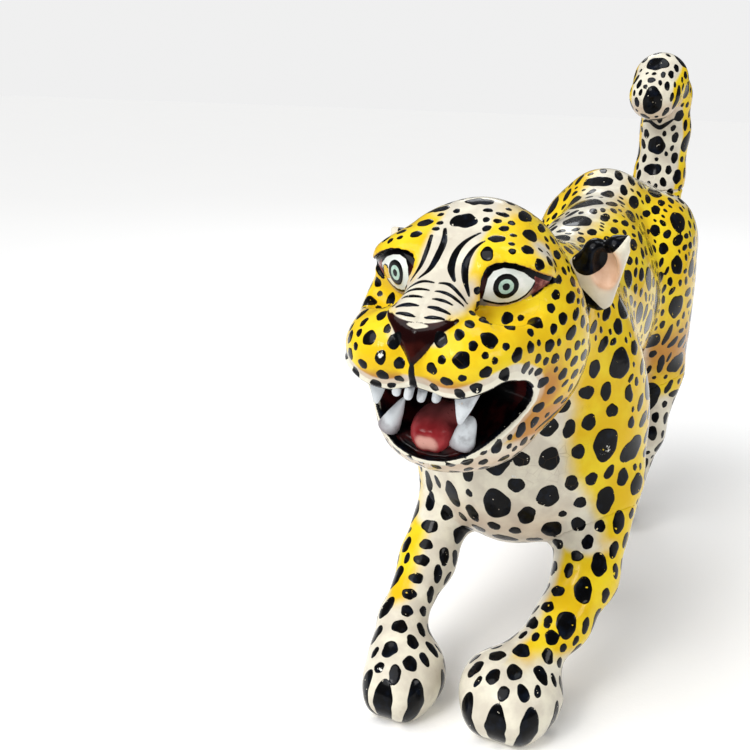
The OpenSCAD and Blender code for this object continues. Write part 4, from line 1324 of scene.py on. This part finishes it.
def tooth_rings(mesh, base, axis, foot, point, bend, facets):
    """Rings of vertices that taper and lean, from the foot to just under the tip."""
    turned = axis.to_track_quat("Z", "Y")
    rows = []
    for i in range(TOOTH_RINGS + 1):
        t = i / TOOTH_RINGS
        radius = (foot + (point - foot) * t ** 1.15) * (1 - 0.25 * max(0, t - 0.85) / 0.15)
        middle = base + axis * t + Vector((bend * axis.length * t * t, 0, 0))
        row = []
        for k, facet in enumerate(facets):
            a = 2 * math.pi * (k + 0.2 * math.sin(i)) / TOOTH_SIDES
            r = radius * facet * (1 + 0.03 * math.sin(3 * i + k))
            spot = turned @ Vector((math.cos(a) * r, math.sin(a) * r * 0.9, 0))
            row.append(mesh.verts.new((middle + spot) * MM))
        rows.append(row)
    return rows


def make_tooth(name, base, tip, foot, point, bend, material, rng):
    """A whittled, faceted peg, closed at the foot and pointed at the tip."""
    base, tip = Vector(base), Vector(tip)
    axis = tip - base
    mesh = bmesh.new()
    rows = tooth_rings(mesh, base, axis, foot, point, bend, rng.uniform(0.88, 1.10, TOOTH_SIDES))
    crown = tip + axis.normalized() * point * 0.35 + Vector((bend * axis.length, 0, 0))
    crown = mesh.verts.new(crown * MM)
    mesh.faces.new(rows[0][::-1])
    for k in range(TOOTH_SIDES):
        after = (k + 1) % TOOTH_SIDES
        for low, high in zip(rows, rows[1:]):
            mesh.faces.new((low[k], low[after], high[after], high[k]))
        mesh.faces.new((rows[-1][k], rows[-1][after], crown))
    bmesh.ops.recalc_face_normals(mesh, faces=mesh.faces)
    data = bpy.data.meshes.new(name)
    mesh.to_mesh(data)
    mesh.free()
    keep(data, root=(points_of(data) - np.array(base)) @ np.array(axis) / axis.length_squared)
    data.shade_smooth()
    data.materials.append(material)
    piece = added(name + "_tooth", data)
    rounded = piece.modifiers.new("rounded", "SUBSURF")
    rounded.levels = rounded.render_levels = 1
    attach(piece, "figure")
    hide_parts(name)


DRILL_PAST, DRILL_SIDES = 30, 48


def bore(piece, at, axis, radius, depth, wood):
    """Drills a peg's bore into a coat piece; its wall is bare wood."""
    axis = Vector(axis).normalized()
    length = (depth + DRILL_PAST) * MM
    middle = Vector(at) * MM - axis * depth * MM + axis * length / 2
    place = Matrix.Translation(middle) @ axis.to_track_quat("Z", "Y").to_matrix().to_4x4()
    drill = bmesh.new()
    bmesh.ops.create_cone(drill, cap_ends=True, segments=DRILL_SIDES, radius1=radius * MM,
                          radius2=radius * MM, depth=length, matrix=place)
    data = bpy.data.meshes.new("drill")
    drill.to_mesh(data)
    drill.free()
    data.materials.append(wood)
    tool = added("drill", data)
    cut = piece.modifiers.new("bore", "BOOLEAN")
    cut.object = tool
    cut.operation = "DIFFERENCE"
    cut.solver = "EXACT"
    cut.material_mode = "TRANSFER"
    graph = bpy.context.evaluated_depsgraph_get()
    made = bpy.data.meshes.new_from_object(piece.evaluated_get(graph))
    piece.modifiers.clear()
    old, piece.data = piece.data, made
    bpy.data.meshes.remove(old)
    bpy.data.objects.remove(tool)


PEG_ROOM, PLAY = 1.0, 0.08
EAR_PEG_R, EAR_BORE_DEPTH = 3.5, 17
BORE_EDGE = math.radians(62)


def bore_for_tail(piece, wood):
    low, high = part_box("tail_peg")
    at = ((low.x + high.x) / 2 / MM, (low.y + high.y) / 2 / MM, TAIL_SEAT)
    radius = (high.x - low.x) / 2 / MM + PLAY
    bore(piece, at, (0, 0, 1), radius, TAIL_SEAT - low.z / MM + PEG_ROOM, wood)


def bores_for_ears(piece, wood):
    for side in (1, -1):
        at = (EAR_SEAT[0] * side, *EAR_SEAT[1:])
        axis = (EAR_AXIS[0] * side, *EAR_AXIS[1:])
        bore(piece, at, axis, EAR_PEG_R + PLAY, EAR_BORE_DEPTH, wood)


# Piece, field, CAD node, step in millimetres and body.
BLOCKS = [
    ("torso_block", torso_block, "torso", 1.75, "figure"),
    ("head_block", head_block, "head", 1.0, "figure"),
    ("foreleg_left_block", leg_block(FORE_LEFT, 1, True), "foreleg_left", 1.2, "figure"),
    ("foreleg_right_block", leg_block(FORE_RIGHT, -1, True), "foreleg_right", 1.2, "figure"),
    ("hindleg_left_block", leg_block(HIND_LEFT, 1, False), "hindleg_left", 1.2, "figure"),
    ("hindleg_right_block", leg_block(HIND_RIGHT, -1, False), "hindleg_right", 1.2, "figure"),
    ("tail_block", tail_block, "tail", 1.2, "tail"),
    ("ear_left_leaf", ear, "ear_left", 0.7, "ear_left"),
    ("ear_right_leaf", right_ear, "ear_right", 0.7, "ear_right"),
]
DRILLED = {"torso": bore_for_tail, "head": bores_for_ears}


def make_coat_pieces(wood):
    """Carved and painted blocks, with the bores in torso and head drilled before they are painted."""
    marks = lay_marks()
    coat = coat_material()
    for name, field, node, step, body_name in BLOCKS:
        piece = sculpt(name, field, [node], step, body_name)
        piece.data.materials.append(coat)
        if node in DRILLED:
            DRILLED[node](piece, wood)
            piece.data.set_sharp_from_angle(angle=BORE_EDGE)
        if node.startswith("ear"):
            paint_ear(piece)
        else:
            paint(piece, marks)


def make_tongue():
    piece = sculpt("tongue_carving", tongue, ["tongue"], TONGUE_STEP, "figure")
    p = points_of(piece.data)
    # The first field places the painted highlight on the top of the tongue at the back.
    keep(piece.data, root=smooth(-266, -244, p[:, 1]) * smooth(188, 199, p[:, 2]),
         flesh=smooth(-0.6, 0.1, plane(p, *TONGUE_TIP)))
    piece.data.materials.append(tongue_material())


def make_figure():
    """Every piece of the figure; pegs and dowels keep their CAD shape and get bare wood."""
    wood = wood_material()
    make_coat_pieces(wood)
    make_tongue()
    eye_paint, tooth_paint = eye_material(), tooth_material()
    for side, name in ((1, "eye_left"), (-1, "eye_right")):
        make_eye(side, name, eye_paint)
    rng = np.random.default_rng(TOOTH_SEED)
    for name, shape in TEETH.items():
        make_tooth(name, *shape, tooth_paint, rng)
    for node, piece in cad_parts.items():
        if "dowels" in node or "peg" in node:
            piece.data.materials.clear()
            piece.data.materials.append(wood)


WHITE = (1.0, 1.0, 1.0, 1.0)
FLOOR_SIDE, FLOOR_DROP, FLOOR_GLOW = 6.0, 0.0002, 0.12
# How strongly the sky lights the figure, shows in its gloss and shows to the camera.
SKY_LIGHT, SKY_GLOSS, SKY_SEEN = 0.30, 0.10, 0.87
SUN_POWER, SUN_ANGLE, SUN_TILT = 2.2, 50, (28, -22)
# Name, place from the figure's centre, size, power and tint.
LAMPS = [
    ("key", (-0.35, -1.25, 0.95), 0.35, 6.0, (1.0, 0.98, 0.95)),
    ("top", (0.15, 0.25, 1.35), 0.5, 3.0, (0.86, 0.93, 1.0)),
    ("side", (1.25, -0.25, 0.55), 0.35, 3.3, (1.0, 0.97, 0.93)),
    ("back", (-0.5, 1.2, 0.9), 0.5, 2.2, (0.95, 0.97, 1.0)),
]
# The camera: place from the figure's centre in metres, then azimuth, height and roll in degrees.
CAMERA_FROM_CENTRE = Vector((0.1743, -0.7081, 0.1795))
CAMERA_TURN, CAMERA_LENS, CAMERA_SENSOR = (24.58, 16.65, 0.79), 51.84, 36.0


def make_floor():
    mesh = bpy.data.meshes.new("floor")
    corners = [(-1, -1), (1, -1), (1, 1), (-1, 1)]
    mesh.from_pydata([(x * FLOOR_SIDE, y * FLOOR_SIDE, 0) for x, y in corners], [], [(0, 1, 2, 3)])
    floor = added("floor", mesh)
    floor.location.z = CAD_LOW.z - FLOOR_DROP
    s = Shader("floor_board", roughness=0.7, coat=0.0)
    s.colour(s.mix(s.noise(4, 3), (0.90, 0.90, 0.895), (0.92, 0.92, 0.915)))
    s.set(s.surface, "Emission Color", WHITE)
    s.set(s.surface, "Emission Strength", FLOOR_GLOW)
    s.relief(s.noise(300, 2), 0.0001)
    mesh.materials.append(s.material)


def make_sky():
    """A white world whose strength differs for light, gloss and the camera."""
    world = bpy.data.worlds.new("studio")
    world.use_nodes = True
    nodes, links = world.node_tree.nodes, world.node_tree.links
    sky, path = nodes["Background"], nodes.new("ShaderNodeLightPath")
    sky.inputs["Color"].default_value = WHITE
    strength, seen = nodes.new("ShaderNodeMapRange"), nodes.new("ShaderNodeMapRange")
    strength.inputs["To Min"].default_value = SKY_LIGHT
    strength.inputs["To Max"].default_value = SKY_GLOSS
    seen.inputs["To Max"].default_value = SKY_SEEN
    links.new(path.outputs["Is Glossy Ray"], strength.inputs["Value"])
    links.new(path.outputs["Is Camera Ray"], seen.inputs["Value"])
    links.new(strength.outputs["Result"], seen.inputs["To Min"])
    links.new(seen.outputs["Result"], sky.inputs["Strength"])
    bpy.context.scene.world = world


def make_lights(centre):
    sun = bpy.data.lights.new("sky", "SUN")
    sun.energy, sun.angle = SUN_POWER, math.radians(SUN_ANGLE)
    added("sky", sun).rotation_euler = (math.radians(SUN_TILT[0]), math.radians(SUN_TILT[1]), 0)
    for name, place, size, power, tint in LAMPS:
        lamp = bpy.data.lights.new(name, "AREA")
        lamp.energy, lamp.size, lamp.color = power, size, tint
        holder = added(name, lamp)
        holder.location = centre + Vector(place)
        holder.rotation_euler = (-Vector(place)).to_track_quat("-Z", "Y").to_euler()


def make_camera(centre):
    """The camera at the photograph's angle."""
    lens = bpy.data.cameras.new("camera")
    lens.sensor_width, lens.lens = CAMERA_SENSOR, CAMERA_LENS
    camera = added("camera", lens)
    azimuth, height, roll = (math.radians(v) for v in CAMERA_TURN)
    level = math.cos(height)
    back = Vector((math.sin(azimuth) * level, -math.cos(azimuth) * level, math.sin(height)))
    camera.rotation_mode = "QUATERNION"
    camera.rotation_quaternion = Quaternion(-back, -roll) @ (-back).to_track_quat("-Z", "Y")
    camera.location = centre + CAMERA_FROM_CENTRE
    bpy.context.scene.camera = camera


def make_stage():
    """Pale floor, soft lights and the camera."""
    centre = (CAD_LOW + CAD_HIGH) / 2
    make_floor()
    make_sky()
    make_lights(centre)
    make_camera(centre)
    bpy.context.scene.view_settings.view_transform = "Standard"


make_figure()
make_stage()
